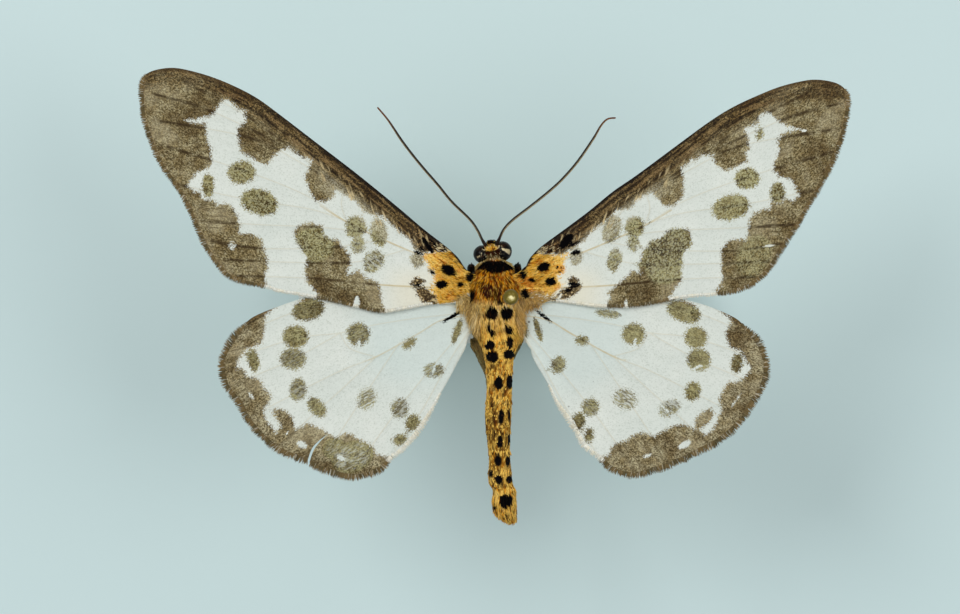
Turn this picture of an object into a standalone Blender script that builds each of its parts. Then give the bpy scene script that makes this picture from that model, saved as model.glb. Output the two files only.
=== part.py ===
"""Percnia moth, a spread museum specimen on its pin, at life size.

Metres, +Z up, the head towards +Y and the moth's right side towards +X.
The origin is on the underside of the stand's base, straight below the
middle of the thorax. Places on the moth are written in UNIT, one
sixtieth of the wingspan, from the middle of the thorax.
"""
import math

import bmesh
import bpy
from mathutils import Matrix, Vector
from mathutils.geometry import delaunay_2d_cdt, intersect_point_line

for old in list(bpy.data.objects):
    bpy.data.objects.remove(old, do_unlink=True)

# Driving dimensions
WINGSPAN = 0.060
UNIT = WINGSPAN / 60.0
GAP = 0.0003
WING_LEVEL = 0.027
CLEARANCE = GAP / UNIT

# Pin and base
PIN_LENGTH = 0.038
PIN_TIP_HEIGHT = 0.0010
PIN_RADIUS = 0.00025
PIN_HEAD_RADIUS = 0.00063
PIN_PLACE = Vector((1.26, -0.04)) * UNIT
PIN_POINT = 0.0009
BASE_LENGTH = 0.036
BASE_DEPTH = 0.0068
BASE_HEIGHT = 0.006
BASE_SHIFT = -0.0008
BASE_ROUNDING = 0.0009

# Wings
WING_THICKNESS = 0.5
FOREWING_LIFT = 0.5
HINDWING_LIFT = -0.55
DIHEDRAL = 0.02
RIM_STEPS = 3
MERGE = 0.02
VEIN_RISE = 0.12
VEIN_HALF_WIDTH = 0.3
VEIN_STEPS = 2
LEFT_FOREWING_SHARE = (-0.985, 1.05)
LEFT_HINDWING_SHARE = (-1.0, 1.01)

# Outlines run from the root along the front edge, round the tip and back
FOREWING_RIGHT = [
    (1.1, 1.6), (2.5, 2.3), (3.5, 3.8), (6.0, 5.8), (10.0, 8.8), (15.0, 12.5), (19.0, 15.3),
    (22.0, 16.95), (25.0, 18.0), (27.3, 18.3), (29.0, 17.9), (29.9, 17.0), (29.9, 15.0),
    (28.6, 11.0), (26.4, 7.0), (23.9, 3.0), (22.3, 1.15), (20.5, 0.3), (18.6, 0.0),
    (15.0, -0.25), (12.0, -0.9), (8.0, -0.9), (5.0, -0.45), (3.4, -0.6), (1.1, -0.3),
]
FOREWING_LEFT = [
    (-1.1, 1.6), (-2.4, 2.3), (-3.6, 3.8), (-6.0, 5.75), (-10.0, 9.1), (-15.0, 13.0),
    (-19.0, 16.05), (-22.0, 17.8), (-25.0, 18.95), (-27.2, 19.3), (-29.0, 18.95),
    (-29.95, 17.9), (-29.9, 16.0), (-28.4, 11.2), (-26.3, 8.0), (-24.9, 5.0), (-23.1, 2.0),
    (-21.6, 1.0), (-19.0, 0.4), (-15.0, -0.2), (-12.0, -0.9), (-9.2, -1.35), (-6.0, -0.85),
    (-3.4, -0.5), (-1.1, -0.3),
]
HINDWING_RIGHT = [
    (1.1, -0.9), (3.0, -0.7), (6.0, 0.5), (10.0, 1.2), (13.5, 0.8), (16.0, -0.15),
    (18.7, -1.0), (21.0, -2.1), (22.6, -3.6), (23.35, -6.0), (22.9, -7.8), (21.7, -9.8),
    (20.1, -11.7), (17.6, -13.3), (14.5, -14.8), (12.0, -15.35), (10.0, -15.0), (8.7, -13.9),
    (7.6, -13.0), (6.35, -11.0), (5.1, -9.0), (3.9, -6.3), (3.1, -4.4), (2.6, -3.0),
    (1.1, -2.4),
]
HINDWING_LEFT = [
    (-1.1, -0.9), (-3.0, -0.7), (-6.0, 0.5), (-10.0, 1.2), (-13.5, 0.9), (-16.0, 0.05),
    (-19.0, -1.05), (-21.0, -2.05), (-22.6, -3.6), (-23.4, -5.8), (-22.9, -7.8),
    (-21.8, -9.3), (-20.8, -11.0), (-18.9, -12.9), (-15.6, -14.5), (-12.0, -15.5),
    (-10.0, -15.2), (-8.7, -14.2), (-7.5, -13.0), (-5.8, -11.0), (-4.9, -9.0), (-3.8, -7.0),
    (-2.9, -5.0), (-2.3, -3.4), (-1.1, -2.6),
]

# Main veins of the right wings, from the root outwards
FOREWING_VEINS = [
    [(1.4, 1.8), (4.0, 3.8), (8.0, 6.8), (14.0, 11.2), (18.6, 14.6)],
    [(9.0, 6.6), (14.0, 10.2), (19.0, 13.9), (23.4, 16.6)],
    [(13.0, 8.8), (17.0, 11.6), (21.0, 14.4), (26.4, 17.2)],
    [(17.0, 11.6), (20.5, 13.3), (25.0, 15.2), (29.2, 16.3)],
    [(2.0, 1.5), (6.0, 4.0), (9.0, 6.0), (12.8, 8.6), (17.0, 11.0), (21.0, 12.8), (29.2, 14.2)],
    [(12.8, 8.6), (13.1, 7.4), (12.6, 6.0)],
    [(1.6, 1.2), (6.0, 3.2), (9.0, 4.4), (12.6, 6.0), (16.0, 8.1), (21.3, 10.1), (28.5, 12.2)],
    [(13.2, 6.3), (16.0, 7.1), (21.0, 7.8), (27.0, 9.0)],
    [(11.0, 5.2), (15.0, 5.6), (20.0, 5.8), (25.2, 6.1)],
    [(9.6, 4.6), (14.0, 4.0), (20.0, 3.9), (24.2, 4.5)],
    [(7.6, 3.8), (12.0, 2.8), (18.0, 2.8), (23.1, 3.0)],
    [(1.6, 0.7), (6.0, 0.8), (10.0, 1.0), (15.6, 1.5), (22.0, 1.7)],
]
HINDWING_VEINS = [
    [(1.6, -1.2), (5.0, -0.5), (10.0, -0.1), (16.0, -1.0), (21.2, -3.0)],
    [(2.0, -1.3), (6.0, -1.7), (10.0, -2.3), (13.0, -3.0), (17.0, -3.5), (22.6, -5.4)],
    [(13.0, -3.0), (17.0, -5.2), (20.5, -6.7), (22.3, -7.7)],
    [(13.0, -3.0), (12.2, -4.3), (10.0, -5.0)],
    [(1.8, -1.5), (4.4, -1.9), (6.5, -3.1), (10.0, -5.0), (13.5, -6.4), (21.0, -10.2)],
    [(10.0, -5.0), (13.0, -7.8), (15.5, -10.0), (18.2, -12.5)],
    [(8.0, -3.8), (10.5, -7.5), (12.8, -11.0), (14.8, -14.2)],
    [(1.8, -1.8), (5.0, -5.5), (8.6, -10.0), (12.0, -14.8)],
    [(1.6, -2.1), (3.6, -5.0), (6.2, -9.6), (8.7, -13.2)],
]

# Body rings: place along Y, middle X, middle Z, half width, rise and drop
THORAX_RINGS = [
    (1.85, 0.0, 0.0, 1.75, 1.45, 1.9), (1.2, 0.0, 0.0, 2.1, 1.8, 2.3),
    (0.2, 0.05, 0.0, 2.25, 2.0, 2.6), (-0.9, 0.1, 0.0, 2.2, 1.95, 2.6),
    (-2.0, 0.15, 0.0, 2.0, 1.75, 2.3), (-3.1, 0.2, 0.0, 1.85, 1.6, 1.95),
]
COLLAR_RINGS = [
    (2.95, -0.05, 0.0, 1.45, 1.1, 1.2), (2.6, 0.0, 0.0, 1.75, 1.35, 1.55),
    (2.15, 0.0, 0.0, 1.8, 1.45, 1.8),
]
HEAD_PLACE = Vector((-0.17, 3.8, -0.1))
HEAD_TURN = math.radians(6.5)
HEAD_RINGS = [
    (0.78, 0.0, -0.1, 0.45, 0.45, 0.55), (0.66, 0.0, -0.05, 0.75, 0.75, 0.9),
    (0.4, 0.0, 0.0, 1.05, 1.0, 1.2), (0.0, 0.0, 0.0, 1.3, 1.15, 1.3),
    (-0.43, 0.0, 0.0, 1.14, 1.04, 1.14),
]
BODY_SIDES = 20

# Locks of long hair over the hindwing roots: root, bend and tip, right side
SIDE_LOCKS = [
    [(1.4, -1.0, 0.5), (2.75, -1.7, 0.62), (3.75, -3.15, 0.45)],
    [(1.35, -1.65, 0.75), (2.4, -2.3, 0.9), (3.0, -3.9, 0.5)],
    [(1.3, -2.3, 0.45), (2.1, -3.0, 0.6), (2.5, -4.4, 0.35)],
]
LOCK_WIDTHS = (0.34, 0.38, 0.32, 0.22, 0.08)
LOCK_DEPTH_SHARE = 0.75
LOCK_SIDES = 6

EYE_SIZE = Vector((0.78, 0.63, 0.83))
EYE_REACH = 0.85

# Abdomen stations: place along Y, middle X, half width
ABDOMEN_STATIONS = [
    (-3.4, 0.25, 1.75), (-4.2, 0.3, 1.75), (-6.0, 0.4, 1.25), (-7.5, 0.42, 1.07),
    (-10.0, 0.28, 1.08), (-12.0, 0.33, 0.98), (-13.7, 0.4, 0.88), (-15.7, 0.5, 1.1),
]
TUFT_STATIONS = [
    (-16.0, 0.72, 1.0), (-17.0, 0.83, 1.06), (-18.0, 0.92, 0.95), (-18.6, 1.0, 0.6),
    (-18.9, 1.05, 0.25),
]
SEGMENT_COUNT = 7

# Locks that end the tail, from inside the tuft to their tips
TAIL_LOCKS = 8
TAIL_LOCK_RUN = [(-17.3, 0.62), (-18.4, 0.66), (-19.2, 0.42)]
TAIL_LOCK_AIM = (1.05, -0.72)
TAIL_STAGGER = 0.2
BODY_SLOPE = 0.035
DROP_RATIO = 1.08

# Antennae, from the socket in the head to the tip
ANTENNA_LEFT = [
    (-0.55, 4.1, 0.3), (-1.0, 4.75, 0.75), (-1.4, 5.55, 1.0), (-2.06, 6.5, 1.15),
    (-3.6, 8.0, 1.3), (-4.75, 9.4, 1.35), (-6.3, 11.2, 1.35), (-7.7, 13.0, 1.3),
    (-8.9, 14.8, 1.2), (-9.85, 15.95, 1.1),
]
ANTENNA_RIGHT = [
    (0.1, 4.2, 0.3), (0.38, 4.85, 0.75), (0.8, 5.7, 1.0), (1.56, 6.5, 1.15),
    (3.0, 7.6, 1.3), (4.5, 8.8, 1.35), (5.7, 9.9, 1.35), (7.0, 11.4, 1.3),
    (8.3, 13.3, 1.2), (8.95, 14.4, 1.15), (9.5, 14.95, 1.1), (10.2, 15.05, 1.1),
]
ANTENNA_RADIUS = 0.25
ANTENNA_STEPS = 3
TIP_TAPER = 0.45

# Palps under the face
PALP_ROOT = Vector((0.30, 0.3, -0.75))
PALP_TIP = Vector((0.27, 1.12, -1.15))
PALP_RADII = (0.3, 0.2)

# Legs folded under the body: root, hip, knee, heel, foot and claw
FRONT_LEG = [
    (0.45, 1.5, -1.9), (0.6, 1.0, -3.1), (2.05, 2.75, -1.5), (2.2, 0.7, -2.7),
    (2.0, -0.9, -3.4), (1.6, -2.0, -4.0),
]
MIDDLE_LEG = [
    (0.4, 0.3, -2.2), (0.42, -0.4, -3.2), (2.35, -1.6, -2.6), (1.1, -4.4, -3.5),
    (0.8, -6.2, -3.3), (0.6, -7.6, -3.0),
]
HIND_LEG_LEFT = [
    (0.45, -1.4, -2.0), (0.5, -2.2, -3.0), (2.05, -4.0, -1.75), (0.72, -7.2, -2.05),
    (0.35, -9.2, -2.35), (0.1, -10.9, -2.4),
]
HIND_LEG_RIGHT = [
    (0.45, -1.4, -2.0), (0.5, -2.2, -3.0), (2.5, -3.2, -1.75), (0.95, -6.3, -2.4),
    (0.8, -8.4, -2.5), (0.7, -10.2, -2.5),
]
LEG_RADII = (0.32, 0.28, 0.26, 0.25, 0.22, 0.13)
LEG_SIDES = 8
KNEE_SWELL = 1.1

PARTS = bpy.data.collections.new("percnia_moth")
CUTTERS = bpy.data.collections.new("cutters")
for folder in (PARTS, CUTTERS):
    bpy.context.scene.collection.children.link(folder)


def material(name, colour, roughness, metallic=0.0):
    """A plain Principled material in the part's own colour."""
    made = bpy.data.materials.new(name)
    made.use_nodes = True
    shader = made.node_tree.nodes["Principled BSDF"]
    shader.inputs["Base Color"].default_value = (*colour, 1.0)
    shader.inputs["Roughness"].default_value = roughness
    shader.inputs["Metallic"].default_value = metallic
    return made


def add_mesh(name, form, folder, finish=None):
    """Puts a bmesh in the scene as an object and frees it."""
    mesh = bpy.data.meshes.new(name)
    bmesh.ops.recalc_face_normals(form, faces=form.faces)
    form.to_mesh(mesh)
    form.free()
    mesh.shade_smooth()
    mesh.set_sharp_from_angle(angle=math.radians(40))
    thing = bpy.data.objects.new(name, mesh)
    folder.objects.link(thing)
    if finish:
        mesh.materials.append(finish)
    if folder == CUTTERS:
        thing.hide_render = True
        thing.display_type = "WIRE"
    return thing


def carve(target, cutter):
    """Takes the cutter's shape out of a part."""
    cut = target.modifiers.new("clear of " + cutter.name, "BOOLEAN")
    cut.operation = "DIFFERENCE"
    cut.object = cutter


def on_moth(point):
    """A place on the moth, in metres above the stand's underside."""
    x, y, z = point
    return Vector((x * UNIT, y * UNIT, z * UNIT + WING_LEVEL))


def smooth_path(points, steps, closed=False):
    """Even steps along a smooth curve through the given points."""
    points = [Vector(point) for point in points]
    count = len(points)
    path = []
    for k in range(count if closed else count - 1):
        if closed:
            near = [points[(k + j) % count] for j in (-1, 0, 1, 2)]
        else:
            near = [points[min(max(k + j, 0), count - 1)] for j in (-1, 0, 1, 2)]
        before, start, end, after = near
        for step in range(steps):
            t = step / steps
            bend = 2 * before - 5 * start + 4 * end - after
            twist = 3 * start - before - 3 * end + after
            path.append(0.5 * (2 * start + (end - before) * t + bend * t * t + twist * t ** 3))
    if not closed:
        path.append(points[-1])
    return path


def loft(rings, place=on_moth, grow=0.0):
    """A closed skin over egg-shaped rings that stand across Y."""
    form = bmesh.new()
    loops = []
    last = len(rings) - 1
    for number, (y, x, z, half_width, rise, drop) in enumerate(rings):
        ends = grow if number == 0 else -grow if number == last else 0.0
        loop = []
        for side in range(BODY_SIDES):
            angle = 2 * math.pi * side / BODY_SIDES
            height = rise if math.sin(angle) > 0 else drop
            loop.append(form.verts.new(place((
                x + (half_width + grow) * math.cos(angle),
                y + ends,
                z + (height + grow) * math.sin(angle),
            ))))
        loops.append(loop)
    for front, back in zip(loops, loops[1:]):
        for side in range(BODY_SIDES):
            after = (side + 1) % BODY_SIDES
            form.faces.new((front[side], front[after], back[after], back[side]))
    form.faces.new(loops[0])
    form.faces.new(reversed(loops[-1]))
    return form


def beside(line, shift):
    """The line moved sideways by a fixed distance."""
    moved = []
    for k, spot in enumerate(line):
        run = line[min(k + 1, len(line) - 1)] - line[max(k - 1, 0)]
        moved.append(spot + Vector((-run.y, run.x)).normalized() * shift)
    return moved


def ridge_height(spot, lines):
    """How far a vein near this spot raises the membrane."""
    nearest = VEIN_HALF_WIDTH
    for line in lines:
        for start, end in zip(line, line[1:]):
            foot, share = intersect_point_line(spot, start, end)
            foot = start if share < 0 else end if share > 1 else foot
            nearest = min(nearest, (spot - foot.to_2d()).length)
    return VEIN_RISE * (1.0 - nearest / VEIN_HALF_WIDTH)


def wing(name, outline, veins, share, lift, finish):
    """A thin blade over the outline, its two faces split alike."""
    rim = smooth_path(outline, RIM_STEPS, closed=True)
    spots = list(rim)
    edges = []
    lines = []
    for vein in veins:
        line = smooth_path([(x * share[0], y * share[1]) for x, y in vein], VEIN_STEPS)
        lines.append(line)
        for shift in (-VEIN_HALF_WIDTH, 0.0, VEIN_HALF_WIDTH):
            first = len(spots)
            spots += beside(line, shift)
            edges += [(k, k + 1) for k in range(first, len(spots) - 1)]
    loop = [list(range(len(rim)))]
    flat, _, faces, _, _, _ = delaunay_2d_cdt(spots, edges, loop, 1, MERGE)
    form = bmesh.new()
    sheets = []
    ridges = [ridge_height(spot, lines) for spot in flat]
    for side in (1, -1):
        sheet = []
        for spot, ridge in zip(flat, ridges):
            height = lift + DIHEDRAL * abs(spot.x) + side * (WING_THICKNESS / 2 + ridge)
            sheet.append(form.verts.new(on_moth((spot.x, spot.y, height))))
        sheets.append(sheet)
    top, bottom = sheets
    sides = {}
    for face in faces:
        form.faces.new([top[k] for k in face])
        form.faces.new([bottom[k] for k in reversed(face)])
        for k, start in enumerate(face):
            sides[(start, face[(k + 1) % len(face)])] = True
    for start, end in sides:
        if (end, start) not in sides:
            form.faces.new((top[end], top[start], bottom[start], bottom[end]))
    blade = add_mesh(name, form, PARTS, finish)
    carve(blade, thorax_room)
    return blade


def tube(name, points, radii, finish):
    """A round wire through the points, made a closed mesh."""
    curve = bpy.data.curves.new(name, "CURVE")
    curve.dimensions = "3D"
    curve.bevel_depth = UNIT
    curve.bevel_resolution = 2
    curve.use_fill_caps = True
    spline = curve.splines.new("POLY")
    spline.points.add(len(points) - 1)
    for knot, point, radius in zip(spline.points, points, radii):
        knot.co = (*point, 1.0)
        knot.radius = radius
    guide = bpy.data.objects.new(name + "_guide", curve)
    PARTS.objects.link(guide)
    bpy.context.view_layer.update()
    settled = guide.evaluated_get(bpy.context.evaluated_depsgraph_get())
    mesh = bpy.data.meshes.new_from_object(settled)
    bpy.data.objects.remove(guide, do_unlink=True)
    form = bmesh.new()
    form.from_mesh(mesh)
    bpy.data.meshes.remove(mesh)
    bmesh.ops.remove_doubles(form, verts=form.verts, dist=0.01 * UNIT)
    return add_mesh(name, form, PARTS, finish)


def antenna(name, points, finish):
    """A thread-like feeler that thins towards its tip."""
    path = smooth_path(points, ANTENNA_STEPS)
    last = len(path) - 1
    radii = []
    for k in range(len(path)):
        along = k / last
        thin = max(0.0, along - 0.75) / 0.25
        radii.append(ANTENNA_RADIUS * (1.0 - (1.0 - TIP_TAPER) * thin))
    feeler = tube(name, [on_moth(point) for point in path], radii, finish)
    carve(feeler, head_room)
    return feeler


def limb(start, end, start_radius, end_radius):
    """A tapered rod between two places."""
    form = bmesh.new()
    run = end - start
    bmesh.ops.create_cone(
        form, cap_ends=True, segments=LEG_SIDES, radius1=start_radius,
        radius2=end_radius, depth=run.length,
    )
    turn = Vector((0, 0, 1)).rotation_difference(run).to_matrix().to_4x4()
    form.transform(Matrix.Translation((start + end) / 2) @ turn)
    return form


def knuckle(place, radius):
    """A round joint between two rods."""
    form = bmesh.new()
    bmesh.ops.create_uvsphere(form, u_segments=LEG_SIDES, v_segments=6, radius=radius)
    form.transform(Matrix.Translation(place) @ Matrix.Rotation(0.35, 4, "X"))
    return form


def keep_largest(mesh):
    """Leaves only the largest closed surface of a mesh."""
    form = bmesh.new()
    form.from_mesh(mesh)
    waiting = set(form.verts)
    shells = []
    while waiting:
        stack = [waiting.pop()]
        shell = set(stack)
        while stack:
            for edge in stack.pop().link_edges:
                for vert in edge.verts:
                    if vert in waiting:
                        waiting.discard(vert)
                        shell.add(vert)
                        stack.append(vert)
        shells.append(shell)
    shells.sort(key=len)
    for shell in shells[:-1]:
        bmesh.ops.delete(form, geom=list(shell), context="VERTS")
    form.to_mesh(mesh)
    form.free()


def fuse(name, forms, finish):
    """Joins closed forms into one body by a single union."""
    loose = bpy.data.collections.new(name + "_pieces")
    bpy.context.scene.collection.children.link(loose)
    pieces = [add_mesh(name + "_piece", form, loose) for form in forms]
    first = pieces[0]
    loose.objects.unlink(first)
    bpy.context.scene.collection.objects.link(first)
    union = first.modifiers.new("union", "BOOLEAN")
    union.operation = "UNION"
    union.operand_type = "COLLECTION"
    union.collection = loose
    bpy.context.view_layer.update()
    settled = first.evaluated_get(bpy.context.evaluated_depsgraph_get())
    mesh = bpy.data.meshes.new_from_object(settled)
    for piece in pieces:
        bpy.data.objects.remove(piece, do_unlink=True)
    bpy.data.collections.remove(loose)
    keep_largest(mesh)
    mesh.name = name
    mesh.materials.clear()
    mesh.materials.append(finish)
    body = bpy.data.objects.new(name, mesh)
    PARTS.objects.link(body)
    return body


def lock(points):
    """A flat tapered lock of hair that bends along its path."""
    path = smooth_path([on_moth(point) for point in points], (len(LOCK_WIDTHS) - 1) // 2)
    form = bmesh.new()
    loops = []
    for k, (spot, width) in enumerate(zip(path, LOCK_WIDTHS)):
        run = (path[min(k + 1, len(path) - 1)] - path[max(k - 1, 0)]).normalized()
        across = run.cross(Vector((0, 0, 1))).normalized()
        up = across.cross(run)
        loop = []
        for side in range(LOCK_SIDES):
            angle = 2 * math.pi * side / LOCK_SIDES
            out = across * math.cos(angle) + up * math.sin(angle) * LOCK_DEPTH_SHARE
            loop.append(form.verts.new(spot + out * width * UNIT))
        loops.append(loop)
    for front, back in zip(loops, loops[1:]):
        for side in range(LOCK_SIDES):
            after = (side + 1) % LOCK_SIDES
            form.faces.new((front[side], front[after], back[after], back[side]))
    form.faces.new(loops[0])
    form.faces.new(reversed(loops[-1]))
    return form


def leg(name, places, side, finish):
    """One folded leg: coxa, femur, tibia and two lengths of foot."""
    stops = [on_moth((side * x, y, z)) for x, y, z in places]
    radii = [radius * UNIT for radius in LEG_RADII]
    forms = []
    for k in range(len(stops) - 1):
        forms.append(limb(stops[k], stops[k + 1], radii[k], radii[k + 1]))
    for k in range(1, len(stops) - 1):
        forms.append(knuckle(stops[k], radii[k] * KNEE_SWELL))
    made = fuse(name, forms, finish)
    carve(made, thorax_room)
    return made


def along_body(stations, y):
    """Middle and half width of the abdomen at a place along Y."""
    for (y0, x0, w0), (y1, x1, w1) in zip(stations, stations[1:]):
        if y0 >= y >= y1:
            t = (y0 - y) / (y0 - y1)
            ease = t * t * (3 - 2 * t)
            return x0 + (x1 - x0) * ease, w0 + (w1 - w0) * ease
    raise ValueError("outside the body")


def tuft_axis(y):
    """Where the middle of the tail tuft lies, across and up."""
    return along_body(TUFT_STATIONS, y)[0], BODY_SLOPE * y - 0.1


def body_ring(stations, y, swell=1.0):
    """One egg-shaped ring of the abdomen or its tuft."""
    x, half_width = along_body(stations, y)
    half_width *= swell
    return (y, x, BODY_SLOPE * y - 0.1, half_width, half_width, half_width * DROP_RATIO)


# Stand base, a plain bar with a blind hole for the pin
BASE_PAINT = material("base_white", (0.80, 0.82, 0.80), 0.55)
block = bmesh.new()
bmesh.ops.create_cube(block, size=1.0)
block.transform(
    Matrix.Translation((0.0, BASE_SHIFT, BASE_HEIGHT / 2))
    @ Matrix.Diagonal((BASE_LENGTH, BASE_DEPTH, BASE_HEIGHT, 1.0))
)
stand_base = add_mesh("stand_base", block, PARTS, BASE_PAINT)
rounding = stand_base.modifiers.new("rounded edges", "BEVEL")
rounding.width = BASE_ROUNDING
rounding.segments = 2
pin_room = bmesh.new()
ROOM_HEIGHT = PIN_LENGTH
bmesh.ops.create_cone(
    pin_room, cap_ends=True, segments=16, radius1=PIN_RADIUS + GAP,
    radius2=PIN_RADIUS + GAP, depth=ROOM_HEIGHT,
)
pin_room.transform(Matrix.Translation(
    (PIN_PLACE.x, PIN_PLACE.y, PIN_TIP_HEIGHT - GAP + ROOM_HEIGHT / 2)
))
pin_room = add_mesh("pin_room", pin_room, CUTTERS)
carve(stand_base, pin_room)

# Pin, a lacquered wire with a ball on top
STEEL = material("pin_steel", (0.10, 0.095, 0.09), 0.35, 1.0)
NYLON = material("pin_head_nylon", (0.42, 0.36, 0.14), 0.3)
head_height = PIN_TIP_HEIGHT + PIN_LENGTH - PIN_HEAD_RADIUS
pin_stops = (
    PIN_TIP_HEIGHT, PIN_TIP_HEIGHT + PIN_POINT, WING_LEVEL,
    head_height - PIN_HEAD_RADIUS - GAP,
)
pin_radii = [PIN_RADIUS / UNIT * share for share in (0.25, 1.0, 1.0, 1.0)]
tube("pin_shank", [Vector((*PIN_PLACE, z)) for z in pin_stops], pin_radii, STEEL)
ball = bmesh.new()
bmesh.ops.create_uvsphere(ball, u_segments=16, v_segments=10, radius=PIN_HEAD_RADIUS)
ball.transform(Matrix.Translation((*PIN_PLACE, head_height)))
add_mesh("pin_head", ball, PARTS, NYLON)

# Thorax and collar
FUR = material("thorax_fur", (0.42, 0.24, 0.07), 0.85)
COLLAR_FUR = material("collar_fur", (0.05, 0.045, 0.04), 0.85)
thorax_forms = [loft(THORAX_RINGS)]
for side in (-1, 1):
    for points in SIDE_LOCKS:
        thorax_forms.append(lock([(side * x, y, z) for x, y, z in points]))
thorax = fuse("thorax", thorax_forms, FUR)
carve(thorax, pin_room)
thorax_room = add_mesh("thorax_room", loft(THORAX_RINGS, grow=CLEARANCE), CUTTERS)
add_mesh("collar", loft(COLLAR_RINGS), PARTS, COLLAR_FUR)

# Head, turned a little to the left, with an eye let into each side
HEAD_FUR = material("head_fur", (0.45, 0.30, 0.08), 0.85)
EYE_BLACK = material("eye_black", (0.012, 0.011, 0.01), 0.12)
head_frame = Matrix.Translation(on_moth(HEAD_PLACE)) @ Matrix.Rotation(HEAD_TURN, 4, "Z")


def on_head(point):
    """A place on the turned head, in metres."""
    return head_frame @ (Vector(point) * UNIT)


def eye_form(side, grow):
    """Half of an egg, its flat face towards the head's core."""
    form = bmesh.new()
    bmesh.ops.create_uvsphere(form, u_segments=20, v_segments=14, radius=1.0)
    size = EYE_SIZE + Vector((grow, grow, grow))
    form.transform(Matrix.Diagonal((*size, 1.0)))
    bmesh.ops.bisect_plane(
        form, geom=form.verts[:] + form.edges[:] + form.faces[:],
        plane_co=(-side * grow, 0, 0), plane_no=(-side, 0, 0), clear_outer=True,
    )
    bmesh.ops.holes_fill(form, edges=form.edges)
    centre = on_head((side * EYE_REACH, 0, 0))
    turn = Matrix.Rotation(HEAD_TURN, 4, "Z")
    form.transform(Matrix.Translation(centre) @ turn @ Matrix.Scale(UNIT, 4))
    return form


head = add_mesh("head", loft(HEAD_RINGS, place=on_head), PARTS, HEAD_FUR)
head_room = add_mesh("head_room", loft(HEAD_RINGS, place=on_head, grow=CLEARANCE), CUTTERS)
for label, side in (("left", -1), ("right", 1)):
    add_mesh("eye_" + label, eye_form(side, 0.0), PARTS, EYE_BLACK)
    carve(head, add_mesh("eye_room_" + label, eye_form(side, CLEARANCE), CUTTERS))

# Palps
for label, side in (("left", -1), ("right", 1)):
    mirror = Vector((side, 1, 1))
    palp_form = limb(
        on_head(PALP_ROOT * mirror), on_head(PALP_TIP * mirror), PALP_RADII[0] * UNIT,
        PALP_RADII[1] * UNIT,
    )
    carve(add_mesh("palp_" + label, palp_form, PARTS, COLLAR_FUR), head_room)

# Antennae
HORN = material("antenna_horn", (0.06, 0.05, 0.03), 0.6)
antenna("antenna_left", ANTENNA_LEFT, HORN)
antenna("antenna_right", ANTENNA_RIGHT, HORN)

# Abdomen in telescoping segments, and the tuft that ends it
ABDOMEN_FUR = material("abdomen_scales", (0.40, 0.22, 0.06), 0.8)
first_y = ABDOMEN_STATIONS[0][0]
segment = (ABDOMEN_STATIONS[-1][0] - first_y) / SEGMENT_COUNT
abdomen_rings = []
for number in range(SEGMENT_COUNT):
    for share, swell in ((0.0, 0.96), (0.35, 1.01), (0.9, 1.03)):
        y = first_y + segment * (number + share)
        abdomen_rings.append(body_ring(ABDOMEN_STATIONS, y, swell))
abdomen_rings.append(body_ring(ABDOMEN_STATIONS, ABDOMEN_STATIONS[-1][0], 0.96))
add_mesh("abdomen", loft(abdomen_rings), PARTS, ABDOMEN_FUR)
tuft_rings = [body_ring(TUFT_STATIONS, station[0]) for station in TUFT_STATIONS]
tuft_forms = [loft(tuft_rings)]
for number in range(TAIL_LOCKS):
    angle = 2 * math.pi * (number + 0.5) / TAIL_LOCKS
    lean = Vector((math.cos(angle), 0.0, math.sin(angle)))
    points = []
    for y, share in TAIL_LOCK_RUN:
        x, z = TAIL_LOCK_AIM if y < TUFT_STATIONS[-2][0] else tuft_axis(y)
        points.append((x + lean.x * share, y + TAIL_STAGGER * (number % 2), z + lean.z * share))
    tuft_forms.append(lock(points))
fuse("tail_tuft", tuft_forms, ABDOMEN_FUR)

# Wings
SCALES = material("wing_scales", (0.62, 0.64, 0.58), 0.75)
RIGHT_SHARE = (1.0, 1.0)
for name, outline, veins, share, lift in (
    ("forewing_left", FOREWING_LEFT, FOREWING_VEINS, LEFT_FOREWING_SHARE, FOREWING_LIFT),
    ("forewing_right", FOREWING_RIGHT, FOREWING_VEINS, RIGHT_SHARE, FOREWING_LIFT),
    ("hindwing_left", HINDWING_LEFT, HINDWING_VEINS, LEFT_HINDWING_SHARE, HINDWING_LIFT),
    ("hindwing_right", HINDWING_RIGHT, HINDWING_VEINS, RIGHT_SHARE, HINDWING_LIFT),
):
    wing(name, outline, veins, share, lift, SCALES)

# Legs
LEG_BROWN = material("leg_scales", (0.10, 0.075, 0.04), 0.7)
leg("leg_front_left", FRONT_LEG, -1, LEG_BROWN)
leg("leg_front_right", FRONT_LEG, 1, LEG_BROWN)
leg("leg_middle_left", MIDDLE_LEG, -1, LEG_BROWN)
leg("leg_middle_right", MIDDLE_LEG, 1, LEG_BROWN)
leg("leg_hind_left", HIND_LEG_LEFT, -1, LEG_BROWN)
leg("leg_hind_right", HIND_LEG_RIGHT, 1, LEG_BROWN)
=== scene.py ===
"""Percnia moth, a spread specimen on its pin: the finish and fine surface.

Metres, +Z up, the head towards +Y and the moth's right side towards +X.
Places on the moth are written in millimetres from the middle of the thorax.
"""
import math

import bmesh
import bpy
import numpy as np
from mathutils import Matrix, Vector
from mathutils.geometry import delaunay_2d_cdt


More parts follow.
